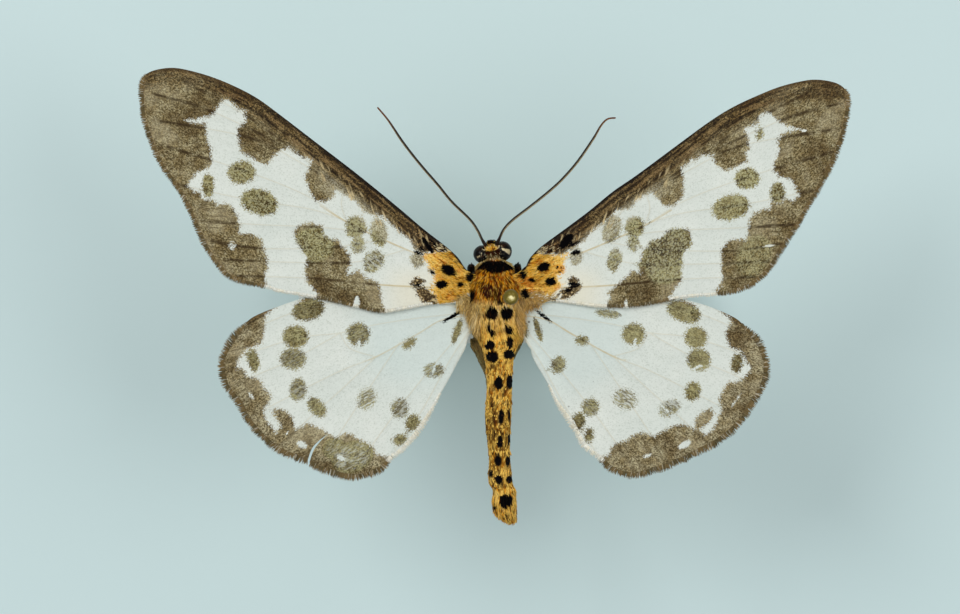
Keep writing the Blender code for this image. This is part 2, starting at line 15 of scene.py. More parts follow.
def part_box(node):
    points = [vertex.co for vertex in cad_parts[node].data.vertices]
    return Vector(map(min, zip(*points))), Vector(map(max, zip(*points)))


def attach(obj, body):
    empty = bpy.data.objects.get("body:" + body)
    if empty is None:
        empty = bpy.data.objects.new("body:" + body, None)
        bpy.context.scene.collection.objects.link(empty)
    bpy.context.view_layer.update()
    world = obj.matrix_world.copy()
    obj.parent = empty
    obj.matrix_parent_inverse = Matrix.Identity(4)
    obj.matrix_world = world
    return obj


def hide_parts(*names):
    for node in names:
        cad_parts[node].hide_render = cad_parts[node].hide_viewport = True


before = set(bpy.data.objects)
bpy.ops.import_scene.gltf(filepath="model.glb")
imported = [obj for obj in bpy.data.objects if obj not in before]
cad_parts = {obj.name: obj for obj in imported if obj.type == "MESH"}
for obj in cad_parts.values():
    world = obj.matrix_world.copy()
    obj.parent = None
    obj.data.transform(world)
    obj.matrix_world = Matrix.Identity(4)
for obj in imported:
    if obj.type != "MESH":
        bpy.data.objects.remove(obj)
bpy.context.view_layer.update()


# Camera and studio
# The specimen is seen from straight above through a long lens, over a
# plain pale floor, under a large soft light and an even pale sky.
MM = 0.001
WING_LEVEL = 27.0
LENS = 100.0
FILM = 36.0
VIEW_WIDTH = 80.78
VIEW_MIDDLE = (-1.22, -0.84)
VIEW_LEVEL = WING_LEVEL + 0.8


def paint(red, green, blue):
    """A display colour from 0 to 255 as the linear colour that light uses."""
    linear = []
    for value in (red, green, blue):
        value /= 255
        linear.append(value / 12.92 if value <= 0.04045 else ((value + 0.055) / 1.055) ** 2.4)
    return (*linear, 1.0)


scene = bpy.context.scene
scene.view_settings.view_transform = "Standard"
lens = bpy.data.cameras.new("specimen_camera")
lens.lens = LENS
lens.sensor_width = FILM
lens.clip_start = 0.02
camera = bpy.data.objects.new("specimen_camera", lens)
scene.collection.objects.link(camera)
camera_height = VIEW_LEVEL + VIEW_WIDTH * LENS / FILM
camera.location = (VIEW_MIDDLE[0] * MM, VIEW_MIDDLE[1] * MM, camera_height * MM)
scene.camera = camera

sky = bpy.data.worlds.new("studio")
sky.use_nodes = True
sky.node_tree.nodes["Background"].inputs["Color"].default_value = (0.93, 0.97, 1.0, 1.0)
sky.node_tree.nodes["Background"].inputs["Strength"].default_value = 0.50
scene.world = sky
for name, place, aim, size, power in (
    ("key_light", (-0.20, 0.14, 0.34), (0.0, 0.0, 0.027), 0.20, 0.60),
    ("fill_light", (0.22, 0.02, 0.32), (0.0, 0.0, 0.027), 0.24, 0.42),
):
    lamp = bpy.data.lights.new(name, "AREA")
    lamp.shape = "DISK"
    lamp.size = size
    lamp.energy = power
    light = bpy.data.objects.new(name, lamp)
    light.location = place
    light.rotation_euler = (Vector(place) - Vector(aim)).to_track_quat("Z", "Y").to_euler()
    scene.collection.objects.link(light)


class Finish:
    """A node material, written as one line for each step."""

    def __init__(self, name):
        self.material = bpy.data.materials.new(name)
        self.material.use_nodes = True
        self.tree = self.material.node_tree
        self.shader = self.tree.nodes["Principled BSDF"]
        corner = self.step("ShaderNodeTexCoord", {}, {}, "Object")
        self.place = self.step("ShaderNodeVectorMath", {"operation": "SCALE"}, {0: corner, 3: 1 / MM})

    def step(self, kind, settings, inputs, output=0):
        """Adds one node, sets it up and gives back one of its outputs."""
        node = self.tree.nodes.new(kind)
        for key, value in settings.items():
            setattr(node, key, value)
        for key, value in inputs.items():
            if isinstance(value, bpy.types.NodeSocket):
                self.tree.links.new(value, node.inputs[key])
            else:
                node.inputs[key].default_value = value
        return node.outputs[output]

    def calc(self, operation, *values):
        """A sum on one or two numbers."""
        return self.step("ShaderNodeMath", {"operation": operation}, dict(enumerate(values)))

    def product(self, first, *others):
        """Numbers multiplied together."""
        for other in others:
            first = self.calc("MULTIPLY", first, other)
        return first

    def total(self, first, *others):
        """Numbers added together."""
        for other in others:
            first = self.calc("ADD", first, other)
        return first

    def span(self, value, low, high, start=0.0, end=1.0):
        """Eases from start to end as the value goes from low to high."""
        settings = {"interpolation_type": "SMOOTHSTEP"}
        return self.step("ShaderNodeMapRange", settings, {0: value, 1: low, 2: high, 3: start, 4: end})

    def lie(self, turn, stretch):
        """The place, turned and squeezed, so that a pattern runs along the lie."""
        inputs = {0: self.place, 2: (0, 0, -math.radians(turn))}
        turned = self.step("ShaderNodeMapping", {}, inputs)
        inputs = {0: turned, 1: (1 / stretch, 1, 1)}
        return self.step("ShaderNodeVectorMath", {"operation": "MULTIPLY"}, inputs)

    def sheet_place(self, across, along):
        """A place in a flat pattern that two numbers lay out."""
        return self.step("ShaderNodeCombineXYZ", {}, {0: across, 1: along})

    def noise(self, size, detail=2.0, at=None):
        """Cloudy noise around 0.5, one blotch about every size in millimetres."""
        inputs = {"Vector": at or self.place, "Scale": 1 / size, "Detail": detail}
        return self.step("ShaderNodeTexNoise", {}, inputs)

    def cells(self, size, output="Color", at=None):
        """Small cells, each with its own grey, or the distance to its middle."""
        inputs = {"Vector": at or self.place, "Scale": 1 / size}
        return self.step("ShaderNodeTexVoronoi", {}, inputs, output)

    def read(self, name, output="Fac"):
        """A value that the mesh carries at each of its points."""
        return self.step("ShaderNodeAttribute", {"attribute_name": name}, {}, output)

    def blend(self, share, first, second):
        """Goes from the first colour to the second as the share grows."""
        return self.step("ShaderNodeMix", {"data_type": "RGBA"}, {0: share, 6: first, 7: second}, 2)

    def times(self, colour, share, second):
        """Multiplies a colour by another, as far as the share says."""
        settings = {"data_type": "RGBA", "blend_type": "MULTIPLY"}
        return self.step("ShaderNodeMix", settings, {0: share, 6: colour, 7: second}, 2)

    def relief(self, height, depth):
        """Fine relief whose full height is the depth in millimetres."""
        return self.step("ShaderNodeBump", {}, {"Height": height, "Distance": depth * MM, "Strength": 1.0})

    def shade(self, **inputs):
        """Sets the surface itself, by links for what varies over it."""
        for key, value in inputs.items():
            socket = self.shader.inputs[key.replace("_", " ")]
            if isinstance(value, bpy.types.NodeSocket):
                self.tree.links.new(value, socket)
            else:
                socket.default_value = value
        return self.material


def add_piece(name, places, faces, material, replaced=()):
    """Makes a mesh from places in metres and lets it ride on the specimen."""
    mesh = bpy.data.meshes.new(name)
    mesh.from_pydata([tuple(place) for place in places], [], faces)
    mesh.materials.append(material)
    mesh.shade_smooth()
    piece = bpy.data.objects.new(name, mesh)
    scene.collection.objects.link(piece)
    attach(piece, "root")
    if replaced:
        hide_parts(*replaced)
    return piece


FLOOR_TONE = paint(204, 223, 222)
FLOOR_HALF = 0.6
FLOOR_LEVEL = -0.00002
floor_finish = Finish("pale_floor")
floor_mesh = bpy.data.meshes.new("floor")
corners = [(x * FLOOR_HALF, y * FLOOR_HALF, FLOOR_LEVEL) for x, y in ((-1, -1), (1, -1), (1, 1), (-1, 1))]
floor_mesh.from_pydata(corners, [], [(0, 1, 2, 3)])
floor_mesh.materials.append(floor_finish.shade(Base_Color=FLOOR_TONE, Roughness=0.9))
floor = bpy.data.objects.new("floor", floor_mesh)
scene.collection.objects.link(floor)


# Display base
# A short strip of dense white plastic foam, cut square, its edges eased
# with a sanding block, with one hole pressed into it by the pin.
BASE_ROUNDING = 0.9
BASE_CELL = 0.22

base_low, base_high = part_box("stand_base")
base_form = bmesh.new()
bmesh.ops.create_cube(base_form, size=1.0)
base_size = base_high - base_low
base_form.transform(
    Matrix.Translation((base_low + base_high) / 2) @ Matrix.Diagonal((*base_size, 1.0))
)
bmesh.ops.bevel(
    base_form, geom=base_form.edges[:] + base_form.verts[:], offset=BASE_ROUNDING * MM,
    segments=7, profile=0.5, affect="EDGES",
)
base_mesh = bpy.data.meshes.new("base_strip")
base_form.to_mesh(base_mesh)
base_form.free()
base_mesh.shade_smooth()
base_mesh.set_sharp_from_angle(angle=math.radians(50))
base_finish = Finish("white_foam")
foam_cells = base_finish.cells(BASE_CELL, "Distance")
foam_cloud = base_finish.noise(3.0)
foam_tone = base_finish.blend(foam_cloud, paint(214, 217, 212), paint(233, 235, 230))
foam_tone = base_finish.times(foam_tone, base_finish.span(foam_cells, 0.1, 0.5), paint(226, 226, 222))
base_mesh.materials.append(base_finish.shade(
    Base_Color=foam_tone, Roughness=0.62, Normal=base_finish.relief(foam_cells, 0.05),
))
base_strip = bpy.data.objects.new("base_strip", base_mesh)
scene.collection.objects.link(base_strip)
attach(base_strip, "root")
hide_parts("stand_base")


# Insect pin
# A springy steel wire, lacquered against rust, ground to a point, with a
# small olive nylon ball moulded over its blunt end.
PIN_SIDES = 28
PIN_COLLAR = 0.33
PIN_COLLAR_RISE = 0.22


def ring_faces(rings, sides):
    """Faces of a closed form whose places run ring by ring."""
    faces = []
    for ring in range(rings - 1):
        for side in range(sides):
            after = (side + 1) % sides
            low, high = ring * sides, (ring + 1) * sides
            faces.append((low + side, low + after, high + after, high + side))
    faces.append(tuple(reversed(range(sides))))
    faces.append(tuple(range((rings - 1) * sides, rings * sides)))
    return faces


def turned(name, middle, profile, material, slot, replaced):
    """A closed round form from pairs of height and radius in millimetres."""
    places = []
    for height, radius in profile:
        for side in range(PIN_SIDES):
            angle = 2 * math.pi * side / PIN_SIDES
            x = middle[0] + radius * math.cos(angle) * MM
            y = middle[1] + radius * math.sin(angle) * MM
            places.append((x, y, height * MM))
    return add_piece(name, places, ring_faces(len(profile), PIN_SIDES), material, replaced)


shank_low, shank_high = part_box("pin_shank")
ball_low, ball_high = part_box("pin_head")
pin_middle = (ball_low + ball_high) / 2
ball_radius = (ball_high.z - ball_low.z) / 2 / MM
ball_level = pin_middle.z / MM
shank_radius = (shank_high.x - shank_low.x) / 2 / MM
tip_level = shank_low.z / MM

lacquer = Finish("pin_lacquer")
lacquer_wear = lacquer.noise(0.8, 4.0, lacquer.lie(90, 6.0))
lacquer.shade(
    Base_Color=lacquer.blend(lacquer_wear, paint(34, 32, 30), paint(78, 74, 68)),
    Roughness=lacquer.span(lacquer_wear, 0.3, 0.7, 0.28, 0.45), Metallic=0.85,
    Normal=lacquer.relief(lacquer_wear, 0.01),
)
turned("pin_wire", pin_middle, [
    (tip_level, 0.02), (tip_level + 0.5, 0.11), (tip_level + 1.1, shank_radius),
    (WING_LEVEL, shank_radius), (ball_level - ball_radius * 0.8, shank_radius),
], lacquer.material, "pin_wire", ["pin_shank"])

nylon = Finish("pin_ball_nylon")
nylon_cloud = nylon.noise(0.3, 3.0)
nylon_flat = nylon.step("ShaderNodeVectorMath", {"operation": "MULTIPLY"}, {0: nylon.place, 1: (1, 1, 0)})
nylon_reach = nylon.step(
    "ShaderNodeVectorMath", {"operation": "DISTANCE"},
    {0: nylon_flat, 1: (pin_middle.x / MM, pin_middle.y / MM, 0)}, "Value",
)
nylon_reach = nylon.calc("ADD", nylon_reach, nylon.span(nylon_cloud, 0.3, 0.7, -0.12, 0.12))
# Painted highlight: the middle of the ball's top is lighter, as where a window shines on it, and painted
# shade darkens the ball towards its rim
nylon_tone_painted_light = nylon.blend(nylon.span(nylon_reach, 0.04, 0.24), paint(244, 232, 176), paint(170, 154, 84))
nylon_tone_painted_light = nylon.blend(nylon.span(nylon_reach, 0.12, 0.40), nylon_tone_painted_light, paint(104, 90, 34))
nylon.shade(Base_Color=nylon_tone_painted_light, Roughness=0.12, Specular_IOR_Level=0.06)
ball_profile = [
    (ball_level - ball_radius - PIN_COLLAR_RISE, PIN_COLLAR * 0.9), (ball_level - ball_radius, PIN_COLLAR),
]
for number in range(1, 16):
    angle = math.radians(-62 + number * 9.9)
    ball_profile.append((ball_level + ball_radius * math.sin(angle), ball_radius * math.cos(angle)))
ball_profile.append((ball_level + ball_radius, 0.03))
turned("pin_ball", pin_middle, ball_profile, nylon.material, "pin_ball", ["pin_head"])


# Body skin
# One brown, leathery skin runs from the head to the tail, under the coat.
# The dried body is a tube of rings, widest at the wing muscles.
SKIN_STEP = 0.12
SKIN_SIDES = 72
# Rings of the skin: place along the body, middle, half width, rise and drop
SKIN_RINGS = [
    (4.50, -0.25, -0.20, 0.12, 0.12, 0.15), (4.42, -0.24, -0.18, 0.45, 0.45, 0.55),
    (4.15, -0.21, -0.10, 0.78, 0.85, 1.00), (3.80, -0.17, -0.10, 0.90, 0.98, 1.10),
    (3.40, -0.12, -0.10, 0.85, 0.80, 0.90), (3.10, -0.08, -0.05, 1.00, 0.75, 0.85),
    (2.75, -0.02, 0.00, 1.35, 1.00, 1.15), (2.30, 0.00, 0.00, 1.50, 1.18, 1.50),
    (1.85, 0.00, 0.00, 1.52, 1.22, 1.62), (1.20, 0.00, 0.00, 1.80, 1.50, 2.00),
    (0.20, 0.05, 0.00, 1.95, 1.70, 2.30), (-0.90, 0.10, 0.00, 1.90, 1.65, 2.30),
    (-2.00, 0.24, -0.02, 1.78, 1.45, 2.00), (-3.00, 0.40, -0.10, 1.78, 1.32, 1.70),
    (-3.60, 0.42, -0.22, 1.68, 1.40, 1.55), (-4.20, 0.42, -0.25, 1.52, 1.42, 1.55),
    (-5.00, 0.39, -0.28, 1.28, 1.25, 1.35), (-6.00, 0.42, -0.31, 1.14, 1.04, 1.12),
    (-7.50, 0.43, -0.36, 1.06, 0.94, 1.00), (-10.0, 0.32, -0.45, 1.11, 0.98, 1.04),
    (-12.0, 0.35, -0.52, 0.98, 0.90, 0.95), (-13.7, 0.44, -0.58, 0.90, 0.82, 0.88),
    (-15.5, 0.50, -0.64, 1.00, 0.94, 0.98), (-16.3, 0.78, -0.67, 0.94, 0.88, 0.94),
    (-17.2, 0.83, -0.70, 1.00, 0.90, 0.96), (-18.0, 0.90, -0.73, 0.94, 0.78, 0.82),
    (-18.5, 1.06, -0.75, 0.74, 0.58, 0.60), (-18.8, 1.10, -0.76, 0.46, 0.32, 0.32),
]


def light_tones(palette):
    """Display colours as arrays of their three light values."""
    return {name: np.array(paint(*tone)[:3]) for name, tone in palette.items()}


TONES = light_tones({
    "gold": (228, 158, 30), "honey": (204, 140, 38), "rust": (150, 72, 4), "umber": (60, 32, 8),
    "cream": (250, 234, 186), "soot": (4, 3, 4), "olive": (132, 120, 76), "sand": (222, 200, 150),
    "amber": (240, 182, 58), "lemon": (250, 206, 98), "plum": (62, 24, 16), "orange": (214, 112, 16),
    "khaki": (208, 180, 116), "dun": (164, 134, 84),
})


def curve(points, step, closed=False):
    """Evenly spaced places on a smooth curve through the points."""
    knots = np.array(points, float)
    index = np.arange(len(knots) if closed else len(knots) - 1)
    around = [np.take(knots, index + k, axis=0, mode="wrap" if closed else "clip") for k in (-1, 0, 1, 2)]
    before, start, end, after = (side[:, None, :] for side in around)
    t = np.linspace(0, 1, 12, endpoint=False)[None, :, None]
    bend = (2 * before - 5 * start + 4 * end - after) * t ** 2
    path = start + 0.5 * ((end - before) * t + bend + (3 * start - before - 3 * end + after) * t ** 3)
    path = np.vstack([path.reshape(-1, knots.shape[1]), knots[:1] if closed else knots[-1:]])
    length = np.concatenate([[0], np.cumsum(np.linalg.norm(np.diff(path, axis=0), axis=1))])
    stops = np.linspace(0, length[-1], max(2, round(length[-1] / step) + 1))
    even = np.column_stack([np.interp(stops, length, column) for column in path.T])
    return even[:-1] if closed else even


def at_height(places):
    """Moth millimetres to metres above the floor."""
    return (np.asarray(places) + (0, 0, WING_LEVEL)) * MM


def unit(vectors):
    """Vectors of length one."""
    return vectors / np.maximum(np.linalg.norm(vectors, axis=-1, keepdims=True), 1e-9)


def mottle(places, size, seed):
    """Smooth random values from 0 to 1, one blotch about every size.

    The size is one number, or one for each direction.
    """
    spots = np.asarray(places, float) / size
    cell = np.floor(spots).astype(np.int64)
    share = spots - cell
    share = share * share * (3 - 2 * share)
    total = 0.0
    for corner in range(8):
        shift = np.array([corner & 1, corner >> 1 & 1, corner >> 2 & 1])
        weight = np.where(shift, share, 1 - share).prod(axis=1)
        # Large fixed numbers scatter the values of neighbouring corners
        key = ((cell + shift) * (73856093, 19349663, 83492791)).sum(axis=1) + seed * 2654435761
        key = (key ^ (key >> 13)) * 1274126177 & 0x7FFFFFFF
        total = total + weight * ((key ^ (key >> 15)) & 0xFFFF) / 0xFFFF
    return total


def distance(spots, line):
    """How far each place is from a line of joined points."""
    start = line[:-1]
    run = np.diff(line, axis=0)
    share = ((spots[:, None] - start) * run).sum(2) / np.maximum((run ** 2).sum(1), 1e-12)
    foot = start + np.clip(share, 0, 1)[..., None] * run
    return np.linalg.norm(spots[:, None] - foot, axis=2).min(1)


def patch(spots, ring):
    """How deep each place lies inside a closed outline, below zero outside."""
    ring = np.array(ring, float)
    x, y = spots[:, 0, None], spots[:, 1, None]
    x0, y0 = ring.T
    x1, y1 = np.roll(ring, -1, axis=0).T
    slope = (x1 - x0) / np.where(y1 == y0, 1e-9, y1 - y0)
    crossed = ((y0 > y) != (y1 > y)) & (x < slope * (y - y0) + x0)
    edge = distance(spots, np.vstack([ring, ring[:1]]))
    return np.where(crossed.sum(1) % 2 == 1, edge, -edge)


def oval(spots, x, y, half_length, half_width, turn=0.0):
    """How deep each place lies inside an oval, below zero outside."""
    angle = math.radians(turn)
    along = (spots[:, 0] - x) * math.cos(angle) + (spots[:, 1] - y) * math.sin(angle)
    across = (spots[:, 1] - y) * math.cos(angle) - (spots[:, 0] - x) * math.sin(angle)
    ratio = np.hypot(along / half_length, across / half_width)
    reach = np.hypot(along, across)
    inner = np.minimum(half_length, half_width)
    return np.where(ratio < 0.05, inner, reach / np.maximum(ratio, 0.05) - reach)


def ease(value, low, high):
    """Goes smoothly from 0 to 1 between two limits."""
    share = np.clip((value - low) / (high - low), 0, 1)
    return share * share * (3 - 2 * share)


def mixed(first, second, share):
    """One colour for each place, from the first to the second."""
    return first + (second - first) * np.asarray(share)[:, None]


# Black spots of the back: middle, half width and half length
BACK_SPOTS = [
    (-0.23, -1.42, 0.50, 0.52), (1.03, -1.42, 0.50, 0.54), (-0.50, -2.75, 0.15, 0.27),
    (-0.20, -3.15, 0.26, 0.18), (1.25, -2.85, 0.37, 0.30), (-0.42, -4.10, 0.37, 0.34),
    (1.30, -3.85, 0.26, 0.42), (-0.18, -5.00, 0.50, 0.48), (1.22, -4.80, 0.46, 0.38),
    (0.35, -7.25, 0.33, 0.52), (1.28, -7.15, 0.27, 0.58), (0.58, -10.10, 0.20, 0.62),
    (1.24, -10.05, 0.09, 0.50), (0.48, -12.20, 0.21, 0.46), (1.22, -12.10, 0.10, 0.45),
    (0.30, -13.80, 0.24, 0.44), (1.14, -13.85, 0.16, 0.42), (-0.30, -14.95, 0.15, 0.22),
    (0.33, -15.40, 0.28, 0.32), (1.25, -15.40, 0.24, 0.31), (0.95, -17.20, 0.58, 0.48),
    (-0.10, -17.75, 0.16, 0.18),
]
# Brown streaks between them
BACK_STREAKS = [
    (0.20, -8.40, 0.12, 0.22), (-0.20, -9.10, 0.13, 0.45), (-0.25, -5.95, 0.14, 0.24),
    (-0.55, -6.20, 0.08, 0.26), (-0.20, -11.40, 0.10, 0.40), (0.35, -5.60, 0.06, 0.22),
    (0.80, -15.95, 0.30, 0.14), (1.05, -18.45, 0.16, 0.30), (0.15, -16.10, 0.20, 0.16),
]
# Dark tufts of the chest: tone, middle, half width and half length
CHEST_MARKS = [
    ("plum", -0.58, 0.50, 0.46, 0.66), ("soot", -2.02, 0.20, 0.32, 0.54),
    ("soot", -2.05, 1.62, 0.26, 0.50), ("soot", 2.35, 1.80, 0.28, 0.34),
    ("soot", 2.62, 0.25, 0.40, 0.45), ("plum", 0.38, 0.02, 0.12, 0.34),
    ("soot", 0.50, -0.50, 0.24, 0.17), ("plum", 0.55, 0.52, 0.09, 0.34),
]
# The collar's black crescent and the line of its pale front edge
COLLAR_DARK = [
    (-1.85, 2.46), (-1.15, 2.88), (-0.60, 3.10), (0.00, 2.98), (0.70, 3.10), (1.20, 2.92),
    (1.85, 2.50), (1.60, 2.25), (1.10, 2.22), (0.60, 2.03), (0.00, 1.98), (-0.60, 2.08),
    (-0.80, 2.26), (-1.50, 2.35),
]
COLLAR_PALE = [
    (-1.74, 2.46), (-1.30, 2.96), (-0.76, 3.26), (-0.20, 3.30), (0.45, 3.30), (0.95, 3.20),
    (1.48, 2.88), (1.92, 2.46),
]
# Yellow crown of the head
CROWN = [
    (-0.76, 3.90), (-0.98, 4.08), (-0.86, 4.30), (-0.82, 4.56), (-0.62, 4.72), (-0.28, 4.66),
    (0.06, 4.74), (0.28, 4.52), (0.32, 4.18), (0.10, 3.92), (-0.30, 3.84),
]
# Spots of the belly, one pair to a segment
BELLY_PAIRS = 7
BELLY_SIDES = (-0.2, 1.0)
BELLY_FRONT = -4.4
BELLY_PITCH = 1.75


def chest_tint(y, streak, grain, lock):
    """Chest hair, streaked from brown to gold and paler towards the belly."""
    chest = mixed(TONES["rust"], TONES["gold"], ease(streak, 0.32, 0.72))
    chest = mixed(chest, TONES["umber"], 0.85 * ease(grain, 0.58, 0.78))
    chest = mixed(chest, TONES["lemon"], 0.8 * ease(1 - grain, 0.70, 0.88))
    chest = mixed(chest, TONES["umber"], 0.85 * ease(lock, 0.60, 0.76))
    lower = mixed(TONES["lemon"] * 1.6, TONES["cream"] * 1.35, 0.25 + 0.5 * ease(1 - lock, 0.62, 0.8))
    return mixed(chest, lower, 0.92 * ease(-y, 0.1, 0.8) * (1 - 0.9 * ease(grain, 0.54, 0.68)))


def rear_tint(places, streak, grain, lock):
    """Scales of the abdomen, gold with brown flecks."""
    y = places[:, 1]
    crumb = mottle(places, (0.14, 0.34, 0.14), 6)
    rear = mixed(TONES["honey"], TONES["lemon"], ease(grain, 0.25, 0.7))
    pale = mixed(TONES["lemon"] * 1.2, TONES["cream"] * 1.1, lock)
    rear = mixed(rear, pale, 0.6 * ease(1 - lock, 0.64, 0.80))
    rear = mixed(rear, TONES["umber"], 0.7 * ease(crumb, 0.64, 0.76))
    rear = mixed(rear, TONES["lemon"] * 1.5, 0.7 * ease(1 - crumb, 0.60, 0.76))
    rear = mixed(rear, TONES["rust"], 0.55 * ease(1 - streak, 0.62, 0.86))
    shaded = 0.48 * ease(-y, 9.0, 10.5) * ease(y, -16.6, -15.6) * (1 - 0.45 * ease(-y, 12.0, 13.0))
    rear = mixed(rear, TONES["umber"], shaded + 0.5 * ease(lock, 0.66, 0.80))
    return rear * (1 + 0.14 * ease(-y, 15.6, 16.8) + 0.1 * ease(y, -7.8, -6.6))[:, None]


def side_tint(tint, places, streak, grain):
    """Paler and greyer hair under the chest, and khaki at its sides."""
    x, y, z = places.T
    under = mixed(TONES["sand"], TONES["olive"], 0.6 * streak + 0.25 * grain)
    tint = mixed(tint, under, 0.8 * ease(-z, 0.9, 1.6) * ease(y, -3.6, -2.4))
    flank = 0.8 * ease(np.abs(x - 0.35), 1.25, 1.8) * ease(-y, 0.3, 0.9) * ease(y, -2.9, -2.0)
    return mixed(tint, TONES["khaki"], flank)


def marked_tint(tint, places, streak, rough):
    """The dark tufts of the chest, and the spots of back and belly."""
    upper = ease(places[:, 2], -1.0, -0.7)
    for kind, *mark in CHEST_MARKS:
        share = upper * ease(oval(places, *mark) + rough, -0.05, 0.05)
        if kind == "plum":
            share = share * (0.85 + 0.15 * ease(streak, 0.35, 0.6))
        tint = mixed(tint, TONES[kind], share)
    for mark in BACK_STREAKS:
        depth = oval(places, *mark) + 1.6 * rough
        tint = mixed(tint, TONES["umber"], 0.8 * upper * ease(depth, -0.05, 0.05))
    for mark in BACK_SPOTS:
        depth = oval(places, *mark) + rough + 0.05
        tint = mixed(tint, TONES["soot"], upper * ease(depth, -0.04, 0.04))
    for number in range(BELLY_PAIRS):
        for x in BELLY_SIDES:
            depth = oval(places, x, BELLY_FRONT - BELLY_PITCH * number, 0.26, 0.34) + rough
            tint = mixed(tint, TONES["soot"], (1 - upper) * ease(depth, -0.05, 0.05))
    return tint


def head_tint(flat, streak, grain, lock, rough):
    """The head: brown, with a yellow crown and a black face."""
    x, y = flat.T
    head = mixed(TONES["umber"], TONES["plum"], ease(grain, 0.3, 0.7))
    head = mixed(head, TONES["cream"], 0.8 * ease(1 - grain, 0.72, 0.84))
    crown = mixed(TONES["amber"], TONES["lemon"], ease(streak, 0.3, 0.6)) * 1.5
    crown = mixed(crown, TONES["rust"], 0.9 * ease(lock, 0.54, 0.66))
    head = mixed(head, crown, ease(patch(flat, CROWN) + 0.5 * rough, -0.04, 0.04))
    face = oval(flat, -0.28, 4.86, 0.30, 0.24) + 0.5 * rough
    head = mixed(head, TONES["soot"], ease(face, -0.04, 0.04))
    furrow = 0.10 - np.abs(y - 3.78 - 0.1 * np.cos(2 * x))
    return mixed(head, TONES["soot"], 0.9 * ease(furrow, 0, 0.08))


def collar_tint(tint, places, grain, rough):
    """The collar: a black crescent edged in front with pale scales."""
    x, flat, z = places[:, 0], places[:, :2], places[:, 2]
    tint = mixed(tint, TONES["soot"], ease(patch(flat, COLLAR_DARK) + 0.5 * rough, -0.06, 0.04))
    pale = 0.21 - distance(flat, np.array(COLLAR_PALE)) + 0.6 * rough
    pale = ease(pale, -0.05, 0.05) * ease(z, -1.2, -0.8) * (0.4 + 0.6 * ease(np.abs(x + 0.1), 0.3, 0.9))
    return mixed(tint, mixed(TONES["khaki"], TONES["olive"], 0.15 + 0.6 * grain), pale)


def body_tint(places):
    """The colour of skin and coat at places on the body, in light values."""
    places = np.asarray(places, float)
    flat, y = places[:, :2], places[:, 1]
    streak = mottle(places, (0.12, 1.0, 0.12), 1)
    grain = mottle(places, (0.11, 0.30, 0.11), 2)
    lock = mottle(places, (0.16, 1.3, 0.16), 4)
    rough = 0.14 * (grain - 0.5) + 0.14 * (mottle(places, 0.16, 3) - 0.5)
    chest = chest_tint(y, streak, grain, lock)
    rear = rear_tint(places, streak, grain, lock)
    tint = mixed(chest, rear, ease(-y, 1.6, 3.4))
    tint = side_tint(tint, places, streak, grain)
    tint = marked_tint(tint, places, streak, rough)
    head = head_tint(flat, streak, grain, lock, rough)
    tint = mixed(tint, head, ease(y, 3.05, 3.25))
    return collar_tint(tint, places, grain, rough)


ring_table = curve(SKIN_RINGS, SKIN_STEP)


def on_body(y, angle, lift=0.0):
    """Place, outward normal and rearward lie on the skin."""
    def spot(y, angle):
        middle_x, middle_z, half_width, rise, drop = (
            np.interp(-y, -ring_table[:, 0], ring_table[:, k]) for k in (1, 2, 3, 4, 5)
        )
        height = np.where(np.sin(angle) > 0, rise, drop)
        return np.column_stack([
            middle_x + half_width * np.cos(angle), y, middle_z + height * np.sin(angle)
        ])
    here = spot(y, angle)
    rearward = unit(spot(y - 0.05, angle) - spot(y + 0.05, angle))
    around = unit(spot(y, angle + 0.02) - spot(y, angle - 0.02))
    outward = unit(np.cross(around, rearward))
    outward *= np.sign((outward * (here - spot(y, angle + np.pi))).sum(1))[:, None]
    return here + outward * lift, outward, rearward, around


def add_tint(piece, tints):
    """Stores one light colour at each point of a mesh."""
    colours = np.column_stack([tints, np.ones(len(tints))]).astype(np.float32)
    layer = piece.data.attributes.new("tint", "FLOAT_COLOR", "POINT")
    layer.data.foreach_set("color", colours.ravel())


def add_map(piece, spots):
    """Gives a mesh its OFBake map from one place in the map for each point."""
    layer = piece.data.uv_layers.new(name="OFBake")
    corner = np.zeros(len(piece.data.loops), np.int32)
    piece.data.loops.foreach_get("vertex_index", corner)
    layer.data.foreach_set("uv", np.asarray(spots, np.float32)[corner].ravel())


skin_rows = len(ring_table)
skin_angle = np.tile(np.linspace(0, 2 * np.pi, SKIN_SIDES, endpoint=False), skin_rows)
skin_y = np.repeat(ring_table[:, 0], SKIN_SIDES)
skin_places = on_body(skin_y, skin_angle)[0]
hide = Finish("moth_skin")
hide_grain = hide.noise(0.12, 4.0)
hide_grey = hide.blend(hide_grain, paint(120, 110, 100), paint(225, 215, 205))
hide_tone = hide.times(hide.read("tint", "Color"), 0.7, hide_grey)
hide.shade(
    Base_Color=hide_tone, Roughness=0.75, Specular_IOR_Level=0.05, Normal=hide.relief(hide_grain, 0.05),
)
skin = add_piece(
    "body_skin", at_height(skin_places), ring_faces(skin_rows, SKIN_SIDES), hide.material,
    ["head", "collar", "thorax", "abdomen", "tail_tuft"],
)
add_tint(skin, body_tint(skin_places))


# Wings
# Four thin, dry membranes stiffened by hollow veins and tiled on both
# faces with minute scales, which carry the whole pattern.
MEMBRANE = 0.11
SHEET_STEP = 0.16
DIHEDRAL = 0.02
VEIN_RISE = 0.07
VEIN_HALF = 0.13
PLEAT = 0.07
RIM_STEP = 0.2
FRINGE = 0.42
FOREWING_LEVEL = 0.24
HINDWING_LEVEL = -0.24
WING_REACH = 30
# How the veins, written for the right side, turn over and fit the left wings
VEIN_FIT = {"forewing_left": (-0.985, 1.05), "hindwing_left": (-1.0, 1.01)}
